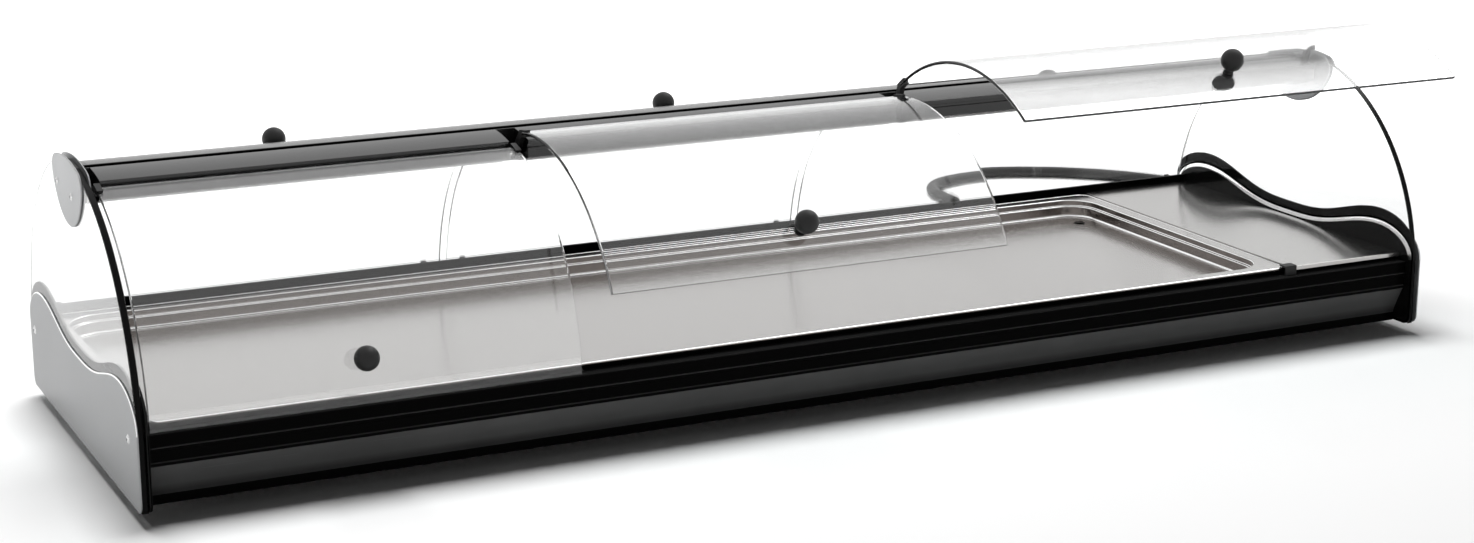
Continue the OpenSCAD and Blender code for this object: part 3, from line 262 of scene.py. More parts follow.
class Finish:
    """A material, or a world, in the making. node() adds any node; surface() sets the main
    shader. In a world, place is the direction that is looked in."""

    def __init__(self, name, world=None):
        self.material = world or bpy.data.materials.new(name)
        self.material.use_nodes = True
        self.tree = self.material.node_tree
        self.tree.nodes.clear()
        self.place = self.node("ShaderNodeTexCoord", out="Generated" if world else "Object")

    def node(self, kind, settings=None, sockets=None, out=0):
        """Adds a node: its settings first, then the values or links of its sockets."""
        made = self.tree.nodes.new(kind)
        for key, value in (settings or {}).items():
            if key == "stops":
                self.set_stops(made.color_ramp, value)
            else:
                setattr(made, key, value)
        for key, value in (sockets or {}).items():
            if isinstance(value, Varying):
                self.tree.links.new(value.socket, made.inputs[key])
            else:
                made.inputs[key].default_value = value
        return Varying(self, made.outputs[out]) if made.outputs else made

    def set_stops(self, ramp, stops):
        """Puts (place, grey or colour) stops on a colour ramp."""
        while len(ramp.elements) < len(stops):
            ramp.elements.new(0.5)
        for element, (place, colour) in zip(ramp.elements, stops):
            element.position = place
            element.color = (colour, colour, colour, 1) if np.isscalar(colour) else (*colour, 1)

    def stretched(self, scale, place=(0, 0, 0), turn=(0, 0, 0)):
        """Object coordinates, moved, turned and scaled by a Mapping node."""
        sockets = {"Vector": self.place, "Location": place, "Rotation": turn, "Scale": scale}
        return self.node("ShaderNodeMapping", None, sockets)

    def along(self, axis):
        """One coordinate: 0 is X, 1 is depth and 2 is height."""
        return self.node("ShaderNodeSeparateXYZ", None, {"Vector": self.place}, out=axis)

    def distance(self, scale, place=(0, 0, 0)):
        """Length of the moved and scaled coordinates. An axis that is scaled by 0 is left out."""
        sockets = {0: self.stretched(scale, place)}
        return self.node("ShaderNodeVectorMath", {"operation": "LENGTH"}, sockets, out="Value")

    def ray(self, fact):
        """What the Light Path node knows of the ray that meets the surface."""
        return self.node("ShaderNodeLightPath", out=fact)

    def noise(self, vector, scale, detail=3.0, roughness=0.5):
        """Cloud pattern from 0 to 1, scale lumps to the metre of its vector."""
        sockets = {"Vector": vector, "Scale": scale, "Detail": detail, "Roughness": roughness}
        return self.node("ShaderNodeTexNoise", None, sockets)

    def ramp(self, value, stops):
        """Colour ramp over a number."""
        return self.node("ShaderNodeValToRGB", {"stops": stops}, {"Fac": value})

    def blend(self, factor, first, second):
        """Blend of two colours."""
        sockets = {0: factor, 6: first, 7: second}
        return self.node("ShaderNodeMix", {"data_type": "RGBA"}, sockets, out=2)

    def bump(self, height, strength, distance):
        """Normal that follows a height, which is given in shares of distance."""
        sockets = {"Height": height, "Strength": strength, "Distance": distance}
        return self.node("ShaderNodeBump", None, sockets)

    def surface(self, **sockets):
        """Main shader: the words of its sockets are written with underscores."""
        named = {key.replace("_", " "): value for key, value in sockets.items()}
        return self.node("ShaderNodeBsdfPrincipled", None, named)

    def done(self, shader):
        """Shows a shader and returns the material."""
        self.node("ShaderNodeOutputMaterial", None, {"Surface": shader})
        return self.material


def grey(level):
    """Neutral colour with full alpha."""
    return (level, level, level, 1)


# %% [markdown]
# ## Finishes
# The case has few finishes, and all of them are industrial: satin lacquer on the end plates,
# black anodised aluminium, black moulded plastic, brushed stainless steel, clear glass and soft
# rubber. What tells them apart is gloss and its small irregularities, so each one gets its grain,
# its haze or its smudges at the scale of the real material. A finish that depends on the height
# over the counter reads it from the object coordinates, since every piece's object stands at the
# origin.

# %% Satin grey of the end plates
def satin_grey():
    """Fine-grained satin lacquer: a faint cloudiness in tone and gloss, and a pebbled bump."""
    f = Finish("satin_grey")
    cloud = f.noise(f.place, 14.0, 4.0)
    grain = f.noise(f.place, 2200.0, 2.0)
    colour = f.blend(cloud, (0.30, 0.305, 0.31, 1), (0.34, 0.345, 0.35, 1))
    rough = 0.30 + cloud * 0.10 + grain * 0.06
    shader = f.surface(Base_Color=colour, Metallic=0.55, Roughness=rough,
                       Normal=f.bump(grain, 0.12, 0.0002))
    return f.done(shader)


# %% Black aluminium, black plastic and rubber
def black_extrusion(name, stops, height, ior):
    """Anodised aluminium: drawing lines along the length show in the gloss. Its tone follows a
    ramp over the share of a given height, and the index of refraction sets how much it mirrors."""
    f = Finish(name)
    lines = f.noise(f.stretched((1.5, 900, 900)), 1.0, 3.0)
    haze = f.noise(f.place, 9.0, 3.0)
    tone = f.ramp(f.along(2) * (1 / height), stops)
    colour = f.blend(haze * 0.4, tone, grey(0.004))
    rough = 0.17 + lines * 0.10 + haze * 0.05
    shader = f.surface(Base_Color=colour, Roughness=rough, IOR=ior,
                       Normal=f.bump(lines, 0.05, 0.0002))
    return f.done(shader)


def gloss_black():
    """Polished black sheet with a trace of wiping marks in its gloss."""
    f = Finish("gloss_black")
    wipe = f.noise(f.stretched((30, 8, 30), turn=(0.5, 0, 0)), 1.0, 4.0)
    shader = f.surface(Base_Color=f.blend(wipe, grey(0.002), grey(0.005)), IOR=1.2,
                       Roughness=0.05 + wipe * 0.06)
    return f.done(shader)


def black_plastic():
    """Moulded black plastic with a fine eroded grain."""
    f = Finish("black_plastic")
    grain = f.noise(f.place, 1500.0, 2.0)
    haze = f.noise(f.place, 60.0, 3.0)
    shader = f.surface(Base_Color=f.blend(haze, grey(0.006), grey(0.011)),
                       Roughness=0.42 + haze * 0.12, Specular_IOR_Level=0.3,
                       Normal=f.bump(grain, 0.08, 0.0001))
    return f.done(shader)


def black_rubber():
    """Dull black rubber, a little dusty in places."""
    f = Finish("black_rubber")
    dust = f.noise(f.place, 35.0, 5.0)
    shader = f.surface(Base_Color=f.blend(dust, grey(0.010), grey(0.022)),
                       Roughness=0.42 + dust * 0.18, Normal=f.bump(dust, 0.1, 0.0003))
    return f.done(shader)


# %% Stainless steel and bright steel
def stainless(name, dark, light):
    """Brushed stainless steel: hair-fine lines along the length, and softer patches of gloss."""
    f = Finish(name)
    brush = f.noise(f.stretched((3, 1600, 1600)), 1.0, 4.0, 0.6)
    patch = f.noise(f.place, 5.0, 3.0)
    colour = f.blend(brush, (*dark, 1), (*light, 1))
    rough = 0.15 + brush * 0.02 + patch * 0.04
    shader = f.surface(Base_Color=colour, Metallic=1.0, Roughness=rough)
    return f.done(shader)


def bright_steel(name, dark, light):
    """Turned and polished metal of screws and rods, slightly tarnished. A brighter copy of it is a painted
    highlight on bevels and folds.
    """
    f = Finish(name)
    tarnish = f.noise(f.place, 90.0, 3.0)
    shader = f.surface(Base_Color=f.blend(tarnish, grey(dark), grey(light)), Metallic=1.0,
                       Roughness=0.14 + tarnish * 0.16)
    return f.done(shader)


def drain_steel(middle, radius):
    """Steel of the drain elbow. Its bore, round an upright axis, is painted shade: near-black and not
    metallic.
    """
    f = Finish("drain_steel")
    away = f.distance((1, 1, 0), (-middle[0], -middle[1], 0))
    bore = f.ramp(away * (0.5 / radius), [(0.0, 1.0), (0.47, 1.0), (0.53, 0.0), (1.0, 0.0)])
    shader = f.surface(Base_Color=f.blend(bore, grey(0.12), grey(0.003)), Metallic=1.0 - bore,
                       Roughness=0.3)
    return f.done(shader)


# %% Clear sheet
# Painted shade: the dark line along a door's cut edge and along its edge at the hinge.
EDGE_SHADE_BAND = 0.0013
EDGE_SHADE_TONE = 0.05


def clear_glass(name, tint, cut=None, hinge=None):
    """Polished clear sheet. Lamps shine straight through it, as they nearly do in reality, so
    that it doesn't cast a dark shadow; faint smears vary its tint. A cut edge gets painted shade:
    a dark tint in a narrow band along it. cut is the place along X of such an edge, and hinge is a
    depth, a height and a distance from them within which the edge at the hinge lies; that edge gets
    the same painted shade."""
    f = Finish(name)
    smear = f.noise(f.stretched((4, 9, 9)), 1.0, 4.0)
    colour = f.blend(smear, (*tint, 1), grey(1.0))
    if cut is not None:
        away = (f.along(0) - cut) * (0.5 / EDGE_SHADE_BAND) + 0.5
        shade_band = f.ramp(away, [(0.0, 0.0), (0.1, 1.0), (0.9, 1.0), (1.0, 0.0)])
        colour = f.blend(shade_band, colour, grey(EDGE_SHADE_TONE))
    if hinge:
        off = f.distance((0, 1, 1), (0, -hinge[0], -hinge[1]))
        shade_band = f.ramp(off * (0.5 / hinge[2]), [(0.0, 1.0), (0.49, 1.0), (0.51, 0.0), (1.0, 0.0)])
        colour = f.blend(shade_band, colour, grey(EDGE_SHADE_TONE))
    clear = f.surface(Base_Color=colour, Transmission_Weight=1.0, Roughness=0.0, IOR=1.5)
    through = f.node("ShaderNodeBsdfTransparent", None, {"Color": (0.97, 0.98, 0.98, 1)})
    sockets = {0: f.ray("Is Shadow Ray"), 1: clear, 2: through}
    return f.done(f.node("ShaderNodeMixShader", None, sockets))


# %% Give every solid its finish
DOOR_TINT = (0.985, 0.99, 0.99)
GLASS_TINT = (0.965, 0.985, 0.98)
CASE_HEIGHT = 0.25
# Painted sheen: the black turns lighter just below the crown's top, where the rail catches the light.
CROWN_SHEEN_STOPS = [(0, 0.004), (0.96, 0.006), (0.975, 0.018), (1, 0.018)]
finishes = {
    "satin_grey": satin_grey(),
    "black_extrusion": black_extrusion("black_extrusion", CROWN_SHEEN_STOPS, CASE_HEIGHT, 1.5),
    "gloss_black": gloss_black(),
    "black_plastic": black_plastic(),
    "black_rubber": black_rubber(),
    "stainless": stainless("stainless", (0.455, 0.443, 0.434), (0.485, 0.473, 0.463)),
    "bright_steel": bright_steel("bright_steel", 0.55, 0.72),
    "clear_glass": clear_glass("clear_glass", DOOR_TINT),
}
end_glass_finish = clear_glass("end_glass", GLASS_TINT)
# Painted highlight: a bright polished metal on the upper bevels of plates and covers and on the tray's bead
# and folds.
bevel_highlight_finish = bright_steel("painted_bevel_highlight", 0.86, 0.95)
# Painted reflection: a darker brownish steel on the tray's upright wall.
wall_reflection_finish = stainless("painted_wall_reflection", (0.20, 0.18, 0.17), (0.26, 0.235, 0.22))
# Painted shade: a near-black finish for the front edge of each end glass and for the groove in the rail's
# crown.
painted_shade_finish = black_extrusion("painted_edge_shade", [(0, 0.002), (1, 0.003)], CASE_HEIGHT, 1.15)

for part in frame["record"]["subparts"]:
    materials = frame["nodes"][part["node"]].data.materials
    materials.clear()
    materials.append(finishes[part["material_slot"]])

# %% Finishes of the front extrusion and the drain
FRONT_HEIGHT = 0.08
# Painted highlights on the black: thin light lines at the two ridges, and a faint sheen from the ledge up.
BLACK, LOWER_RIDGE_HIGHLIGHT, UPPER_RIDGE_HIGHLIGHT, LEDGE_SHEEN = 0.002, 0.10, 0.16, 0.01
FRONT_HIGHLIGHT_TONES = [(0.0, BLACK), (0.0480, BLACK), (0.0487, LOWER_RIDGE_HIGHLIGHT), (0.0494, BLACK),
               (0.0600, BLACK), (0.0606, UPPER_RIDGE_HIGHLIGHT), (0.0613, BLACK),
               (0.0710, BLACK), (0.0722, LEDGE_SHEEN)]
# Painted reflection and shade: the leaning face is lighter than the black, and darker towards its toe.
LEAN_REFLECTION_STOPS = [(0, 0.02), (0.26, 0.05), (0.34, 0.10), (1, 0.10)]
front_highlight_stops = [(z / FRONT_HEIGHT, tone) for z, tone in FRONT_HIGHLIGHT_TONES]
front_highlight_finish = black_extrusion("front_extrusion", front_highlight_stops, FRONT_HEIGHT, 1.06)
lean_reflection_finish = black_extrusion("painted_lean_reflection", LEAN_REFLECTION_STOPS, FRONT_HEIGHT, 1.42)

DRAIN_RADIUS = 0.0078
drain_low, drain_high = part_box("drain_fitting")
drain_centre = np.array([(drain_low.x + drain_high.x) / 2, (drain_low.y + drain_high.y) / 2])
elbow = frame["nodes"]["drain_fitting"].data.materials
elbow.clear()
elbow.append(drain_steel(drain_centre.tolist(), DRAIN_RADIUS))
print("drain at", drain_centre.round(4))

# %% [markdown]
# ## Drain hose
# The tray drains through a hose that leaves the rear of the base and lies on the counter. It is
# a metre of soft tube. A curve with a round bevel would do, but its open end has a bore that
# can be seen, so the tube is swept as a mesh: a ring of points is carried along a smooth line
# through the chosen route, and at the free end the surface turns round the lip and runs back
# inside.

# %% Route of the hose
HOSE_RADIUS = 0.007
HOSE_BORE = 0.0048
HOSE_BORE_DEPTH = 0.03
HOSE_SIDES, HOSE_STEPS = 28, 6
HOSE_ROUTE = np.array([
    (0.446, 0.395, 0.030), (0.446, 0.410, 0.030), (0.446, 0.424, 0.028), (0.446, 0.450, 0.019),
    (0.446, 0.476, 0.009), (0.448, 0.504, 0.007), (0.461, 0.529, 0.007), (0.483, 0.545, 0.007),
    (0.511, 0.550, 0.007), (0.540, 0.550, 0.007), (0.568, 0.550, 0.007), (0.596, 0.550, 0.007),
    (0.625, 0.550, 0.007), (0.653, 0.550, 0.007), (0.682, 0.550, 0.007), (0.710, 0.550, 0.007),
    (0.738, 0.550, 0.007), (0.766, 0.555, 0.007), (0.789, 0.571, 0.007), (0.802, 0.596, 0.007),
    (0.802, 0.624, 0.007), (0.791, 0.650, 0.007), (0.777, 0.675, 0.007), (0.762, 0.698, 0.007),
    (0.744, 0.720, 0.007), (0.723, 0.740, 0.007), (0.701, 0.758, 0.007), (0.677, 0.773, 0.007),
    (0.652, 0.786, 0.007), (0.625, 0.796, 0.007), (0.597, 0.798, 0.007), (0.569, 0.793, 0.007),
    (0.543, 0.782, 0.007), (0.523, 0.762, 0.007), (0.512, 0.736, 0.007), (0.508, 0.708, 0.007),
    (0.506, 0.680, 0.007)])


def smooth_line(points, per_span):
    """Smooth line through points: on each span the cubic whose slope at a point is half the
    step between its two neighbours."""
    padded = np.vstack([2 * points[0] - points[1], points, 2 * points[-1] - points[-2]])
    a, b, c, d = padded[:-3, None], padded[1:-2, None], padded[2:-1, None], padded[3:, None]
    t = (np.arange(per_span) / per_span)[None, :, None]
    square, cube = t**2 * (2 * a - 5 * b + 4 * c - d), t**3 * (3 * b - a - 3 * c + d)
    span = b + (t * (c - a) + square + cube) / 2
    return np.vstack([span.reshape(-1, 3), points[-1:]])


def swept(line, radius, sides):
    """Rings of a round tube along a line that is never upright: at each point one axis is level
    and square to the line, and the other is square to both."""
    ahead = np.gradient(line, axis=0)
    ahead /= np.linalg.norm(ahead, axis=1)[:, None]
    level = np.cross(ahead, [0, 0, 1])
    level /= np.linalg.norm(level, axis=1)[:, None]
    above = np.cross(level, ahead)
    turn = np.linspace(0, 2 * np.pi, sides, endpoint=False)[None, :, None]
    ring = np.cos(turn) * level[:, None] + np.sin(turn) * above[:, None]
    return line[:, None] + radius * ring


# %% Sweep the hose
hose_line = smooth_line(HOSE_ROUTE + [0, FRONT_EDGE, 0], HOSE_STEPS)
hose_steps = np.linalg.norm(np.diff(hose_line, axis=0), axis=1)
bore_rows = int(HOSE_BORE_DEPTH / hose_steps.mean())
outer_tube = swept(hose_line, HOSE_RADIUS, HOSE_SIDES)
inner_tube = swept(hose_line, HOSE_BORE, HOSE_SIDES)[::-1][:bore_rows]
hose_mesh = tidy_mesh(grid_mesh("hose", np.concatenate([outer_tube, inner_tube])))
hose = add_piece("hose", hose_mesh, "case", finishes["black_rubber"],
                 ["drain_hose"], flat_faces=False)

# %% [markdown]
# ## Curved doors
# A door is one sheet of clear material, bent to an arc, with edges polished round. That is
# exactly what a curve object draws: an arc in the plane of depth and height, swept by a flat
# profile with round sides. The arc's points follow from the case's curve axis, and a raised door
# is the same arc turned about its hinge line. The profile's flat way lies along the length when
# the curve is tilted by a quarter turn.
#
# A reader should know a second reason for curves here. The hose shows through these doors.

# %% Arc of a door
CURVE_AXIS = np.array([0.200, 0.058])
HINGE = np.array([0.183, 0.228])
DOOR_RADIUS = 0.189
DOOR_THICKNESS = 0.003
DOOR_POINTS = 200
POINT_RADIUS = 0.001
FRONT_ARC = (-15.0, -85.5)
REAR_ARC = (15.5, 83.0)
RAISED = {1: 0.0, 2: 23.1, 3: 51.3}
HINGE_EDGE = 0.0358


def raise_about_hinge(points, degrees):
    """Depth and height of points turned about the hinge line, positive when a door goes up."""
    a = np.radians(degrees)
    d = points - HINGE
    turned = [d[..., 0] * np.cos(a) + d[..., 1] * np.sin(a), d[..., 1] * np.cos(a) - d[..., 0] * np.sin(a)]
    return HINGE + np.stack(turned, -1)


def door_curve(name, x0, x1, arc, raised):
    """Curve of a door: the arc halfway through its thickness. The flat profile reaches from x0
    to x1, and its round sides are half as high as the sheet is thick. Blender multiplies the
    profile by the points' radius and adds that radius to the curve's box, so it is kept small."""
    middle = arc_points(CURVE_AXIS, DOOR_RADIUS - DOOR_THICKNESS / 2, *arc, DOOR_POINTS)
    middle = raise_about_hinge(middle, raised) + [FRONT_EDGE, 0]
    curve = bpy.data.curves.new(name, "CURVE")
    curve.dimensions = "3D"
    curve.use_fill_caps = True
    curve.bevel_depth = DOOR_THICKNESS / 2 / POINT_RADIUS
    curve.bevel_resolution = 3
    curve.extrude = (x1 - x0 - DOOR_THICKNESS) / 2 / POINT_RADIUS
    spline = curve.splines.new("POLY")
    spline.points.add(DOOR_POINTS - 1)
    place = np.column_stack([np.full(DOOR_POINTS, (x0 + x1) / 2), middle, np.ones(DOOR_POINTS)])
    spline.points.foreach_set("co", place.ravel())
    spline.points.foreach_set("tilt", np.full(DOOR_POINTS, np.pi / 2))
    spline.points.foreach_set("radius", np.full(DOOR_POINTS, POINT_RADIUS))
    spline.use_smooth = False
    return curve


# %% Six doors
for side, arc in (("front", FRONT_ARC), ("rear", REAR_ARC)):
    for number in (1, 2, 3):
        node = f"{side}_door_{number}"
        low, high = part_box(node)
        raised, cut, near_hinge = 0.0, high.x, None
        if side == "front":
            raised, cut, near_hinge = RAISED[number], low.x, (HINGE[0] + FRONT_EDGE, HINGE[1], HINGE_EDGE)
        name = f"{side}_sheet_{number}"
        finish = clear_glass(name, DOOR_TINT, cut, near_hinge)
        sheet = add_piece(name, door_curve(name, low.x, high.x, arc, raised), f"{side}_leaf_{number}",
                          finish, [node], flat_faces=False)
        sheet.modifiers.new("closed ends", "WELD").merge_threshold = MERGE_DISTANCE
print("doors", DOOR_RADIUS, "m in radius,", DOOR_THICKNESS, "m thick")

# %% [markdown]
# ## Ends of the case
# Each end is a stack: a grey outer plate, a thick D-shaped glass, a black cheek and a black inner
# cover. All four are flat, so each is its outline carried through its thickness. The plates'
# outline is a wave: two quarter-ellipse shoulders with a broad valley between them. The plates and
# the covers have a bevel whose line follows the wave; on their upper part it carries a painted
# highlight, a bright polished metal.

# %% Wave outline
CORNER_RADIUS = 0.009
FOOT_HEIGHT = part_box("left_end_plate")[0].z
CASE_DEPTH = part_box("left_end_plate")[1].y - FRONT_EDGE
FRONT_PEAK = 0.0545
REAR_PEAK = CASE_DEPTH - 0.057
VALLEY_WIDENING = 1.6
PLATE_LEVELS = (0.075, 0.107, 0.087)
CHEEK_LEVELS = (0.085, 0.1165, 0.094)
SHOULDER_POINTS, VALLEY_POINTS = 24, 60


def wave_outline(shoulder, peak, valley):
    """Outline of an end plate. The shoulders are quarter ellipses from the upright edges to the
    peaks, and the valley between the peaks is a cosine wave, raised to a power to widen it."""
    turn = np.linspace(0, np.pi / 2, SHOULDER_POINTS)
    front = np.stack([FRONT_PEAK * (1 - np.cos(turn)), shoulder + (peak - shoulder) * np.sin(turn)], 1)
    share = np.linspace(0, 1, VALLEY_POINTS)[1:-1]
    wave = ((1 + np.cos(2 * np.pi * share)) / 2) ** VALLEY_WIDENING
    middle = np.stack([FRONT_PEAK + (REAR_PEAK - FRONT_PEAK) * share, valley + (peak - valley) * wave], 1)
    run = CASE_DEPTH - REAR_PEAK
    rear = np.stack([REAR_PEAK + run * np.sin(turn), shoulder + (peak - shoulder) * np.cos(turn)], 1)
    r = CORNER_RADIUS
    foot = np.stack([CASE_DEPTH - r + r * np.cos(turn), FOOT_HEIGHT + r - r * np.sin(turn)], 1)
    toe = np.stack([r - r * np.sin(turn), FOOT_HEIGHT + r - r * np.cos(turn)], 1)
    return np.vstack([toe, front, middle, rear, foot])


def stack_mesh(name, outline, x_inner, x_outer, side, inner_bevel, outer_bevel):
    """Mesh of a flat piece of the end stack between two places on X, counted from the middle of
    the case. A bevel is (how far it draws the outline in, how deep it goes along X)."""
    stations = [(x_inner, inner_bevel[0]), (x_inner + inner_bevel[1], 0.0),
                (x_outer - outer_bevel[1], 0.0), (x_outer, outer_bevel[0])]
    stations = [(side * x, d) for x, d in stations]
    return tidy_mesh(grid_mesh(name, carried(outline + [FRONT_EDGE, 0], stations)))


print("plates", round(CASE_DEPTH, 4), "m deep and", PLATE_LEVELS[1], "m high at their peaks")

# %% Plates, cheeks and covers
ENDS = ((-1, "left"), (1, "right"))
FINE = (0.0002, 0.0002)
WIDE = (0.0011, 0.0006)
BROAD = (0.0060, 0.0026)
HIGHLIGHT_ABOVE = 0.06
SLANT = (0.2, 0.98)
STACK = {
    "end_plate": ("satin_grey", PLATE_LEVELS, FINE, WIDE),
    "cheek": ("gloss_black", CHEEK_LEVELS, FINE, FINE),
    "inner_cover": ("gloss_black", PLATE_LEVELS, BROAD, FINE),
}


def on_bevel(centre, normal):
    """Faces of a bevel on the upper part, which get a painted highlight: they look neither along the case nor
    square to it.
    """
    along = np.abs(normal[:, 0])
    return (along > SLANT[0]) & (along < SLANT[1]) & (centre[:, 2] > HIGHLIGHT_ABOVE)


for part, (slot, levels, inner_bevel, outer_bevel) in STACK.items():
    low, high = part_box(f"right_{part}")
    for side, word in ENDS:
        mesh = stack_mesh(f"{word}_{part}", wave_outline(*levels), low.x, high.x, side,
                          inner_bevel, outer_bevel)
        add_piece(f"{word}_{part}_dressed", mesh, "case", finishes[slot], [f"{word}_{part}"])
        if part != "cheek":
            extra_finish(mesh, bevel_highlight_finish, on_bevel)

# %% End glasses
GLASS_RADIUS = 0.195
GLASS_EDGE = (0.0006, 0.0006)
EDGE_SHADE_FROM = 0.02
ARCH_POINTS = 241


def glass_outline():
    """Outline of an end glass: upright edges and a half circle about the curve axis."""
    arch = arc_points(CURVE_AXIS, GLASS_RADIUS, -90, 90, ARCH_POINTS)
    low = [[CURVE_AXIS[0] + GLASS_RADIUS, FOOT_HEIGHT], [CURVE_AXIS[0] - GLASS_RADIUS, FOOT_HEIGHT]]
    return np.vstack([arch, low])


def on_front_edge(centre, normal):
    """Faces of the narrow front edge of an end glass, on its front part; they get painted shade, a near-black
    finish.
    """
    return (np.abs(normal[:, 0]) < 0.5) & (centre[:, 1] < FRONT_EDGE + CURVE_AXIS[0] - EDGE_SHADE_FROM)


low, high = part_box("right_end_glass")
for side, word in ENDS:
    mesh = stack_mesh(f"{word}_glass", glass_outline(), low.x, high.x, side, GLASS_EDGE, GLASS_EDGE)
    add_piece(f"{word}_glass", mesh, "case", end_glass_finish, [f"{word}_end_glass"])
    extra_finish(mesh, painted_shade_finish, on_front_edge)
print("two glasses,", round(high.x - low.x, 4), "m thick, top at", CURVE_AXIS[1] + GLASS_RADIUS, "m")

# %% [markdown]
# ## Rail end plates
# Four lens-shaped plates hold the top rail between the glasses. Their outline is one wide arc on
# top, two small round tips and a flatter arc below that runs into the tips without a corner. The
# lower circle's radius follows from the condition that the tips' circles touch it from inside.

# %% Lens outline
CAP_TOP_RADIUS = 0.200
CAP_TIP_RADIUS = 0.014
CAP_FRONT = 0.1456
CAP_LOWEST = 0.200
CAP_POINTS, TIP_POINTS = 60, 24


def lens_outline():
    """Outline of a rail end plate. The tips' circles lie inside the top circle and touch it; the
    lower circle has its lowest point at CAP_LOWEST and touches the tips' circles as well."""
    top, tip = CAP_TOP_RADIUS, CAP_TIP_RADIUS
    half = CURVE_AXIS[0] - CAP_FRONT - tip
    tip_height = CURVE_AXIS[1] + np.sqrt((top - tip) ** 2 - half**2)
    rise = tip_height - CAP_LOWEST
    low = (half**2 + rise**2 - tip**2) / (2 * (rise - tip))
    centre = np.array([CURVE_AXIS[0], CAP_LOWEST + low])
    top_angle = np.degrees(np.arctan2(half, tip_height - CURVE_AXIS[1]))
    low_angle = np.degrees(np.arctan2(half, tip_height - centre[1]))
    right, left = (CURVE_AXIS[0] + half, tip_height), (CURVE_AXIS[0] - half, tip_height)
    crown = arc_points(CURVE_AXIS, top, -top_angle, top_angle, CAP_POINTS)
    right_tip = arc_points(right, tip, top_angle, low_angle, TIP_POINTS)[1:-1]
    belly = arc_points(centre, low, low_angle, 360 - low_angle, CAP_POINTS)
    left_tip = arc_points(left, tip, -low_angle, -top_angle, TIP_POINTS)[1:-1]
    return np.vstack([crown, right_tip, belly, left_tip])


for side, word in ENDS:
    for place, bevels in (("outer", (FINE, WIDE)), ("inner", (WIDE, FINE))):
        low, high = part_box(f"right_rail_cap_{place}")
        mesh = stack_mesh(f"{word}_cap_{place}", lens_outline(), low.x, high.x, side, *bevels)
        add_piece(f"{word}_cap_{place}", mesh, "case", finishes["satin_grey"],
                  [f"{word}_rail_cap_{place}"])
print("four rail end plates,", round(2 * (CURVE_AXIS[0] - CAP_FRONT), 4), "m from tip to tip")

# %% [markdown]
# ## Top rail
# The rail is an extruded black section: its crown continues the doors' curve, with a groove
# along it, and its belly is a rounded trough. At the ends of each front door the
# crown is notched, so that the door's clips can swing. Carrying the full section between the
# notches and a cut-back one inside them gives both with clean faces.

# %% Section of the rail
CROWN_RADIUS = 0.1915
RAIL_FRONT, RAIL_REAR = 0.157, 0.247
BELLY_RADIUS, BELLY_LOWEST = 0.100, 0.219
GROOVE_FRONT, GROOVE_WIDTH, GROOVE_DEPTH = 0.191, 0.010, 0.004
EDGE_FACE, RECESS_HEIGHT, RECESS_DEPTH = 0.004, 0.003, 0.002
NOTCH_WALL = 0.1902
RAIL_EDGE = 0.0004
BELLY_POINTS, REAR_CROWN_POINTS, FRONT_CROWN_POINTS = 40, 30, 24


def crown_height(y):
    """Height of the crown's circle over a depth."""
    return CURVE_AXIS[1] + np.sqrt(CROWN_RADIUS**2 - (y - CURVE_AXIS[0]) ** 2)


def belly_height(y):
    """Height of the belly's circle over a depth."""
    return BELLY_LOWEST + BELLY_RADIUS - np.sqrt(BELLY_RADIUS**2 - (y - CURVE_AXIS[0]) ** 2)


def rail_outline(front):
    """Outline of the rail behind a depth: belly from front to rear, then the crown back, with
    its groove, and, on the full section, the edge face and the shadow recess below it."""
    under = np.linspace(front, RAIL_REAR, BELLY_POINTS)
    behind = np.linspace(RAIL_REAR, GROOVE_FRONT + GROOVE_WIDTH, REAR_CROWN_POINTS)
    belly = np.stack([under, belly_height(under)], 1)
    rear_crown = np.stack([behind, crown_height(behind)], 1)
    floor_z = CURVE_AXIS[1] + CROWN_RADIUS - GROOVE_DEPTH
    groove = [[GROOVE_FRONT + GROOVE_WIDTH, floor_z], [GROOVE_FRONT, floor_z]]
    ahead = np.linspace(GROOVE_FRONT, front, FRONT_CROWN_POINTS)
    front_crown = np.stack([ahead, crown_height(ahead)], 1)
    parts = [belly, rear_crown, groove, front_crown]
    if front == RAIL_FRONT:
        lip = crown_height(front) - EDGE_FACE
        inner = front + RECESS_DEPTH
        parts.append([[front, lip], [inner, lip], [inner, lip - RECESS_HEIGHT], [front, lip - RECESS_HEIGHT]])
    return np.vstack(parts)


print("rail's crown at", round(CURVE_AXIS[1] + CROWN_RADIUS, 4), "m, its belly at", BELLY_LOWEST, "m")

# %% Lengths of rail between and inside the notches
CLIP_WIDTH = 0.005
CLIP_GAP = 0.0005
rail_low, rail_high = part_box("top_rail")
door_ends = [(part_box(f"front_door_{n}")[0].x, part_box(f"front_door_{n}")[1].x) for n in (1, 2, 3)]
reach = CLIP_WIDTH + CLIP_GAP
notches = [(rail_low.x, door_ends[0][0] + reach), (door_ends[0][1] - reach, door_ends[1][0] + reach),
           (door_ends[1][1] - reach, door_ends[2][0] + reach), (door_ends[2][1] - reach, rail_high.x)]
full_lengths = [(a[1], b[0]) for a, b in zip(notches[:-1], notches[1:])]
cut_lengths = [(a - RAIL_EDGE, b + RAIL_EDGE) for a, b in notches[1:3]] + [notches[0], notches[3]]
rail_parts = [bar("rail", rail_outline(RAIL_FRONT), *span, RAIL_EDGE, RAIL_EDGE) for span in full_lengths]
rail_parts += [bar("rail", rail_outline(NOTCH_WALL), *span, RAIL_EDGE, RAIL_EDGE) for span in cut_lengths]
print(len(full_lengths), "full lengths of rail and", len(cut_lengths), "cut back")

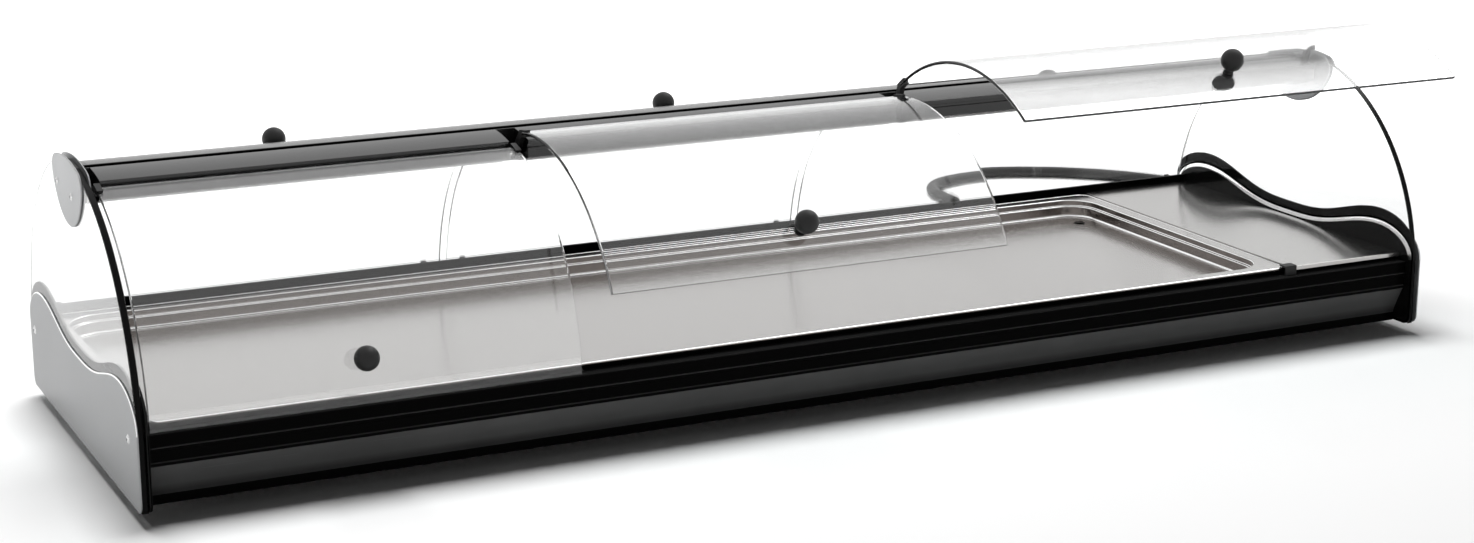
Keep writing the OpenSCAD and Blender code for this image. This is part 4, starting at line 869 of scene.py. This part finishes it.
# %% Seat of the rear doors, and the rail in one mesh
SEAT_ARC = (13.5, 17.2)
SEAT_OUTER, SEAT_INNER = 0.1856, 0.1834
SEAT_POINTS = 6
seat = np.vstack([arc_points(CURVE_AXIS, SEAT_OUTER, *SEAT_ARC, SEAT_POINTS),
                  arc_points(CURVE_AXIS, SEAT_INNER, *SEAT_ARC[::-1], SEAT_POINTS)])
rail_parts.append(bar("rail", seat, rail_low.x, rail_high.x, RAIL_EDGE, RAIL_EDGE))


def in_groove(centre, normal):
    """Faces of the groove in the crown; they get painted shade, a near-black finish."""
    y = centre[:, 1] - FRONT_EDGE
    along = (y > GROOVE_FRONT - RAIL_EDGE) & (y < GROOVE_FRONT + GROOVE_WIDTH + RAIL_EDGE)
    return along & (centre[:, 2] < crown_height(y) - RAIL_EDGE) & (centre[:, 2] > BELLY_LOWEST + GROOVE_DEPTH)


def joined(name, meshes):
    """One mesh of several, each of them a closed shell."""
    work = bmesh.new()
    for mesh in meshes:
        work.from_mesh(mesh)
        bpy.data.meshes.remove(mesh)
    whole = bpy.data.meshes.new(name)
    work.to_mesh(whole)
    work.free()
    whole.shade_smooth()
    whole.set_sharp_from_angle(angle=SHARP_ANGLE)
    return whole


rail_mesh = joined("rail", rail_parts)
add_piece("rail", rail_mesh, "case", finishes["black_extrusion"], ["top_rail"])
extra_finish(rail_mesh, painted_shade_finish, in_groove)
print("rail", round(rail_high.x - rail_low.x, 3), "m long, in", len(rail_parts), "lengths")

# %% [markdown]
# ## Extrusions of the base
# The front extrusion leans back below its knee, carries two fine ridges and ends in a ledge for
# the doors, with a rib behind it on which the tray rests. The lean is a shallow bow: its rise
# runs ahead of its run by a power a little under one. The rear extrusion is a box with a channel
# behind a tall rim. The leaning face has a finish of its own: a painted reflection that makes it
# lighter than the rest, with painted shade towards the toe. Both extrusions carry painted
# highlights: light lines on the ridges and a faint sheen from the ledge up.

# %% Sections of the base
TOE, KNEE, BOW = np.array([0.0225, 0.018]), np.array([0.0103, 0.0454]), 0.82
LEAN_POINTS = 14
LEDGE_DEPTH, LEDGE_HEIGHT, RIDGE = 0.0092, 0.0722, 0.001
RIDGE_HEIGHTS = (0.0473, 0.0592)
RIB_FRONT, RIB_REAR, RIB_TOP = 0.024, 0.027, 0.0779
FRONT_INNER = 0.034
REAR_INNER, REAR_FACE = CASE_DEPTH - 0.034, CASE_DEPTH - 0.002
RIM_REAR, RIM_THICK, RIM_TOP, CHANNEL = CASE_DEPTH - 0.015, 0.0035, 0.0863, 0.0665
REAR_SHELF, REAR_RIB = 0.0755, (CASE_DEPTH - 0.032, CASE_DEPTH - 0.029)
EXTRUSION_CORNER = 0.0004


def front_outline():
    """Outline of the front extrusion, from its toe up to the ledge and back down inside."""
    share = np.linspace(0, 1, LEAN_POINTS)[:, None]
    lean = TOE + np.hstack([share, share**BOW]) * (KNEE - TOE)
    face = LEDGE_DEPTH + RIDGE
    ridges = []
    for z in RIDGE_HEIGHTS:
        ridges += [[face, z - 2 * RIDGE], [LEDGE_DEPTH, z - RIDGE],
                   [LEDGE_DEPTH, z + RIDGE], [face, z + 2 * RIDGE]]
    lip = LEDGE_HEIGHT - 2 * RIDGE
    top = [[face, lip], [LEDGE_DEPTH, lip], [LEDGE_DEPTH, LEDGE_HEIGHT], [RIB_FRONT, LEDGE_HEIGHT],
           [RIB_FRONT, RIB_TOP], [RIB_REAR, RIB_TOP], [RIB_REAR, LEDGE_HEIGHT],
           [FRONT_INNER, LEDGE_HEIGHT - RIDGE], [FRONT_INNER, FOOT_HEIGHT], [TOE[0], FOOT_HEIGHT]]
    return np.vstack([lean, ridges[1:], top])


def rear_outline():
    """Outline of the rear extrusion."""
    rim = RIM_REAR - RIM_THICK
    return np.array([
        [REAR_INNER, FOOT_HEIGHT], [REAR_INNER, REAR_SHELF], [REAR_RIB[0], REAR_SHELF],
        [REAR_RIB[0], RIB_TOP], [REAR_RIB[1], RIB_TOP], [REAR_RIB[1], REAR_SHELF],
        [rim, REAR_SHELF], [rim, RIM_TOP], [RIM_REAR, RIM_TOP],
        [RIM_REAR, CHANNEL], [REAR_FACE, CHANNEL], [REAR_FACE, FOOT_HEIGHT]])


def on_lean(centre, normal):
    """Faces of the lean between toe and knee."""
    return (centre[:, 2] > TOE[1]) & (centre[:, 2] < KNEE[1]) & (normal[:, 1] < -0.5)


base_low, base_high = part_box("front_extrusion")
for word, outline in (("front", front_outline()), ("rear", rear_outline())):
    mesh = bar(f"{word}_bar", outline, base_low.x, base_high.x, EXTRUSION_CORNER, EXTRUSION_CORNER)
    add_piece(f"{word}_bar", mesh, "case", front_highlight_finish, [f"{word}_extrusion"])
    if word == "front":
        extra_finish(mesh, lean_reflection_finish, on_lean)
print("extrusions", round(base_high.x - base_low.x, 4), "m long")

# %% [markdown]
# ## Tray and deck
# The tray is pressed from one sheet. Seen from above, every level of it is a rectangle with round
# corners, so the mesh is a stack of such rings: round the bead at the rim, over the flange, down
# the two steps of the wall, across the floor to the drain hole and back on the underside. The
# folds are arcs, as a press leaves them. The bead and the folds carry a painted highlight, a bright
# polished metal, and the upright wall between them a painted reflection, a darker brownish steel.

# %% Rings of a pressed tray
SHEET = 0.001
BEAD = 0.0015
FLANGE, STEP = 0.0135, 0.0165
FLANGE_LEVEL, STEP_LEVEL, FLOOR_LEVEL = RIB_TOP + SHEET, 0.0729, 0.062
RIM_CORNER, BASIN_CORNER = 0.012, 0.030
FOLD, FLOOR_FOLD = 0.0012, 0.003
FOLD_POINTS, BEAD_POINTS, BEAD_ARC = 5, 15, (90, 408)
FOLD_SLANT = (0.3, 0.93)
CORNER_POINTS = 16
tray_low, tray_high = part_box("tray")
bead_low = np.array([tray_low.x, tray_low.y]) + BEAD
bead_high = np.array([tray_high.x, tray_high.y]) - BEAD


def corner_radius(inset_by):
    """Corner radius of a level: the rim's near the bead, the basin's from the flange inwards."""
    return RIM_CORNER - inset_by if inset_by < FLANGE / 2 else BASIN_CORNER + FLANGE - inset_by


def level_ring(inset_by, z):
    """Rectangle with round corners, at a distance inside the bead's centre line."""
    r = corner_radius(inset_by)
    low, high = bead_low + inset_by + r, bead_high - inset_by - r
    turn = np.linspace(0, np.pi / 2, CORNER_POINTS)
    centres = [(high[0], high[1]), (low[0], high[1]), (low[0], low[1]), (high[0], low[1])]
    arcs = [np.stack([x + r * np.cos(turn + k * np.pi / 2), y + r * np.sin(turn + k * np.pi / 2)], 1)
            for k, (x, y) in enumerate(centres)]
    flat = np.vstack(arcs)
    return np.column_stack([flat, np.full(len(flat), z)])


def drain_ring(z):
    """Ring of the drain hole: each point of the floor's ring, drawn in towards the hole."""
    out = level_ring(STEP + FLOOR_FOLD, z)[:, :2] - drain_centre
    edge = drain_centre + DRAIN_RADIUS * out / np.linalg.norm(out, axis=1)[:, None]
    return np.column_stack([edge, np.full(len(edge), z)])


def fold(centre, radius, start, end):
    """Points of a fold as inset and height, on an arc between two angles in degrees."""
    return arc_points(centre, radius, start, end, FOLD_POINTS)


def tray_profile():
    """Profile of the sheet as inset and height: up from the floor outside, round the bead and
    down again inside. The inside is the outside moved by the thickness of the sheet."""
    t, f, g = SHEET, FOLD, FLOOR_FOLD
    outside = [
        fold((STEP + g, FLOOR_LEVEL + g), g + t, 180, 270),
        fold((STEP - f, STEP_LEVEL - f), f - t, 90, 0),
        fold((FLANGE + f, STEP_LEVEL + f), f + t, 180, 270),
        fold((FLANGE - f, FLANGE_LEVEL - f), f - t, 90, 0),
        arc_points((0, RIB_TOP), BEAD, *BEAD_ARC, BEAD_POINTS)]
    inside = [
        fold((FLANGE - f, FLANGE_LEVEL - f), f, 0, 90),
        fold((FLANGE + f, STEP_LEVEL + f), f, 270, 180),
        fold((STEP - f, STEP_LEVEL - f), f, 0, 90),
        fold((STEP + g, FLOOR_LEVEL + g), g, 270, 180)]
    return np.vstack(outside), np.vstack(inside)


def on_wall(centre, normal):
    """Upright faces of the tray's wall, which get a painted reflection, a darker brownish steel."""
    return np.abs(normal[:, 2]) <= FOLD_SLANT[0]


def on_fold(centre, normal):
    """Faces of the bead and of the folds, which get a painted highlight, a bright polished metal."""
    return (np.abs(normal[:, 2]) > FOLD_SLANT[0]) & (np.abs(normal[:, 2]) < FOLD_SLANT[1])


# %% Tray
outside, inside = tray_profile()
rings = [drain_ring(FLOOR_LEVEL - SHEET)]
rings += [level_ring(d, z) for d, z in outside]
rings += [level_ring(d, z) for d, z in inside]
rings += [drain_ring(FLOOR_LEVEL)]
tray_mesh = tidy_mesh(grid_mesh("tray", np.stack(rings), close_rows=True))
add_piece("pressed_tray", tray_mesh, "case", finishes["stainless"], ["tray"])
extra_finish(tray_mesh, wall_reflection_finish, on_wall)
extra_finish(tray_mesh, bevel_highlight_finish, on_fold)
print("tray", len(tray_mesh.vertices), "points,", len(rings), "rings")

# %% Deck plate
DECK_SHEET, DECK_BEND = 0.002, 0.0008
deck_low, deck_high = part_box("deck_plate")
front, rear = deck_low.y - FRONT_EDGE, deck_high.y - FRONT_EDGE
under = deck_high.z - DECK_SHEET
deck_outline = [[front, deck_low.z], [front + DECK_SHEET, deck_low.z], [front + DECK_SHEET, under],
                [rear, under], [rear, deck_high.z], [front, deck_high.z]]
deck_mesh = bar("deck", deck_outline, deck_low.x, deck_high.x, EXTRUSION_CORNER, DECK_BEND)
add_piece("deck", deck_mesh, "case", finishes["stainless"], ["deck_plate"])
print("deck", round(deck_high.x - deck_low.x, 4), "m by", round(rear - front, 4), "m")

# %% [markdown]
# ## Knobs
# The ball knobs are turned parts. A profile of radius and height is spun about the knob's axis,
# which stands square on the door. The ball sits on a collar; inside the door a flat nut holds it.

# %% Turn a knob
KNOB_SIDES = 48
KNOB_RADIUS = 0.0105
KNOB_CENTRE = 0.013
COLLAR_RADIUS, SHANK_RADIUS, NUT_RADIUS, NUT_HEIGHT = 0.0045, 0.0025, 0.0055, 0.0025
EDGE_BREAK = 0.0004
BALL_POINTS = 32
KNOB_ANGLES = {"front": -74.3, "rear": 27.5}


def knob_profile():
    """Half section of a knob as radius and height above the door's outer face."""
    t, e = DOOR_THICKNESS, EDGE_BREAK
    nut = [[0, -t - NUT_HEIGHT], [NUT_RADIUS - e, -t - NUT_HEIGHT], [NUT_RADIUS, -t - NUT_HEIGHT + e],
           [NUT_RADIUS, -t], [SHANK_RADIUS, -t], [SHANK_RADIUS, 0]]
    neck = np.arcsin((COLLAR_RADIUS - e) / KNOB_RADIUS)
    foot = KNOB_CENTRE - KNOB_RADIUS * np.cos(neck)
    collar = [[COLLAR_RADIUS - e, 0], [COLLAR_RADIUS, e],
              [COLLAR_RADIUS, foot - e], [COLLAR_RADIUS - e, foot]]
    turn = np.linspace(neck, np.pi, BALL_POINTS)[1:]
    ball = np.stack([KNOB_RADIUS * np.sin(turn), KNOB_CENTRE - KNOB_RADIUS * np.cos(turn)], 1)
    ball[-1, 0] = 0
    return np.vstack([nut, collar, ball])


def turned(name, profile, foot, axis, sides):
    """Mesh of a profile spun about an axis in the plane of depth and height: a point is the foot,
    plus its height along the axis, plus its radius along a direction that turns round it."""
    axis = np.array([0.0, *axis])
    across, level = np.cross(axis, [1, 0, 0]), np.array([1.0, 0, 0])
    turn = np.linspace(0, 2 * np.pi, sides, endpoint=False)[None, :, None]
    ring = np.cos(turn) * level + np.sin(turn) * across
    points = np.asarray(foot) + profile[:, None, 1:] * axis + profile[:, None, :1] * ring
    return tidy_mesh(grid_mesh(name, points))


for side in ("front", "rear"):
    for number in (1, 2, 3):
        low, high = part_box(f"{side}_knob_{number}")
        raised = RAISED[number] if side == "front" else 0.0
        a = np.radians(KNOB_ANGLES[side])
        foot = CURVE_AXIS + DOOR_RADIUS * np.array([np.sin(a), np.cos(a)])
        foot = raise_about_hinge(foot, raised) + [FRONT_EDGE, 0]
        lean = a + np.radians(raised)
        mesh = turned(f"{side}_ball_{number}", knob_profile(), [(low.x + high.x) / 2, *foot],
                      (np.sin(lean), np.cos(lean)), KNOB_SIDES)
        add_piece(f"{side}_ball_{number}", mesh, f"{side}_leaf_{number}",
                  finishes["black_plastic"], [f"{side}_knob_{number}"])
print("six knobs,", 2 * KNOB_RADIUS, "m across")

# %% [markdown]
# ## Floor and light
# A studio product shot: an endless white floor, a soft lamp high behind the case and a white
# surround that hardly lights anything. The floor looks white to the camera and in reflections,
# yet keeps the shadow that ties the case to it. The lamp would wash out the clear doors, so gloss
# doesn't show it. Instead the surround has a soft panel that only gloss shows.

# %% Floor
FLOOR_HALF = 14.0
FLOOR_TONE = 0.92
LIT_ELLIPSE = (1 / 2.6, 1 / 2.2, 0)
LIFT_STOPS = [(0.0, 0.0), (0.4, 0.0), (0.9, 1.0), (1.0, 1.0)]


def floor_finish():
    """Matt white floor. Far from the case, where the lamp's light thins out, it is brighter for
    rays from the camera and from gloss and glass; near the case only the lamp lights it."""
    f = Finish("floor")
    seen, mirrored, passed = f.ray("Is Camera Ray"), f.ray("Is Glossy Ray"), f.ray("Is Transmission Ray")
    lift = (seen + mirrored + passed) * f.ramp(f.distance(LIT_ELLIPSE), LIFT_STOPS)
    shader = f.surface(Base_Color=grey(FLOOR_TONE), Roughness=0.9, Specular_IOR_Level=0.0,
                       Emission_Color=lift, Emission_Strength=1.0)
    return f.done(shader)


corners = np.array([(-1, -1), (1, -1), (1, 1), (-1, 1)]) * FLOOR_HALF
floor_mesh = bpy.data.meshes.new("floor")
floor_mesh.from_pydata([(x, y, 0) for x, y in corners], [], [(0, 1, 2, 3)])
floor_mesh.materials.append(floor_finish())
floor = bpy.data.objects.new("floor", floor_mesh)
bpy.context.scene.collection.objects.link(floor)
print("floor", 2 * FLOOR_HALF, "m wide")

# %% Surround
SURROUND_LEVEL = 0.006
PANEL_HEIGHTS = [(0.0, 0.0), (0.63, 0.0), (0.78, 1.0), (0.86, 1.0), (0.95, 0.0)]
PANEL_SIDES = [(0.0, 0.0), (0.33, 0.1), (0.50, 1.0), (1.0, 1.0)]
PANEL_DEPTHS = [(0.0, 0.0), (0.1, 1.0), (1.0, 1.0)]
PANEL_LEVEL = 5.0
world = bpy.data.worlds.new("surround")
bpy.context.scene.world = world


def surround(world):
    """White surround that lights matt things only dimly. In gloss it also shows a soft panel high
    over the right end: a field on the unit sphere of directions, by X, by depth and by height."""
    f = Finish("surround", world)
    fields = (PANEL_SIDES, PANEL_DEPTHS, PANEL_HEIGHTS)
    sides, depths, heights = [f.ramp(f.along(axis), field) for axis, field in enumerate(fields)]
    panel = heights * sides * depths
    bounces = f.ray("Diffuse Depth")
    matt = bounces.math("MINIMUM", bounces, 1.0)
    level = 1.0 + f.ray("Is Glossy Ray") * panel * PANEL_LEVEL - matt * (1 - SURROUND_LEVEL)
    light = f.node("ShaderNodeBackground", None, {"Color": grey(1.0), "Strength": level})
    f.node("ShaderNodeOutputWorld", None, {"Surface": light})


surround(world)
print("panel in the surround:", PANEL_LEVEL, "times white")

# %% Lamp
LAMP_PLACE, LAMP_TARGET = (-0.1, 1.25, 3.6), (0, 0, 0.1)
LAMP_SIZE, LAMP_POWER = 2.4, 200


def add_lamp(name, place, target, size, power):
    """Square soft lamp that looks at a target, for matt surfaces only."""
    data = bpy.data.lights.new(name, "AREA")
    data.size = size
    data.energy = power
    lamp = bpy.data.objects.new(name, data)
    lamp.location = place
    lamp.rotation_euler = (Vector(target) - Vector(place)).to_track_quat("-Z", "Y").to_euler()
    lamp.visible_transmission = lamp.visible_glossy = False
    bpy.context.scene.collection.objects.link(lamp)
    return lamp


add_lamp("high_lamp", LAMP_PLACE, LAMP_TARGET, LAMP_SIZE, LAMP_POWER)
bpy.context.scene.view_settings.view_transform = "Standard"
print("lamp", LAMP_SIZE, "m wide at", LAMP_PLACE)
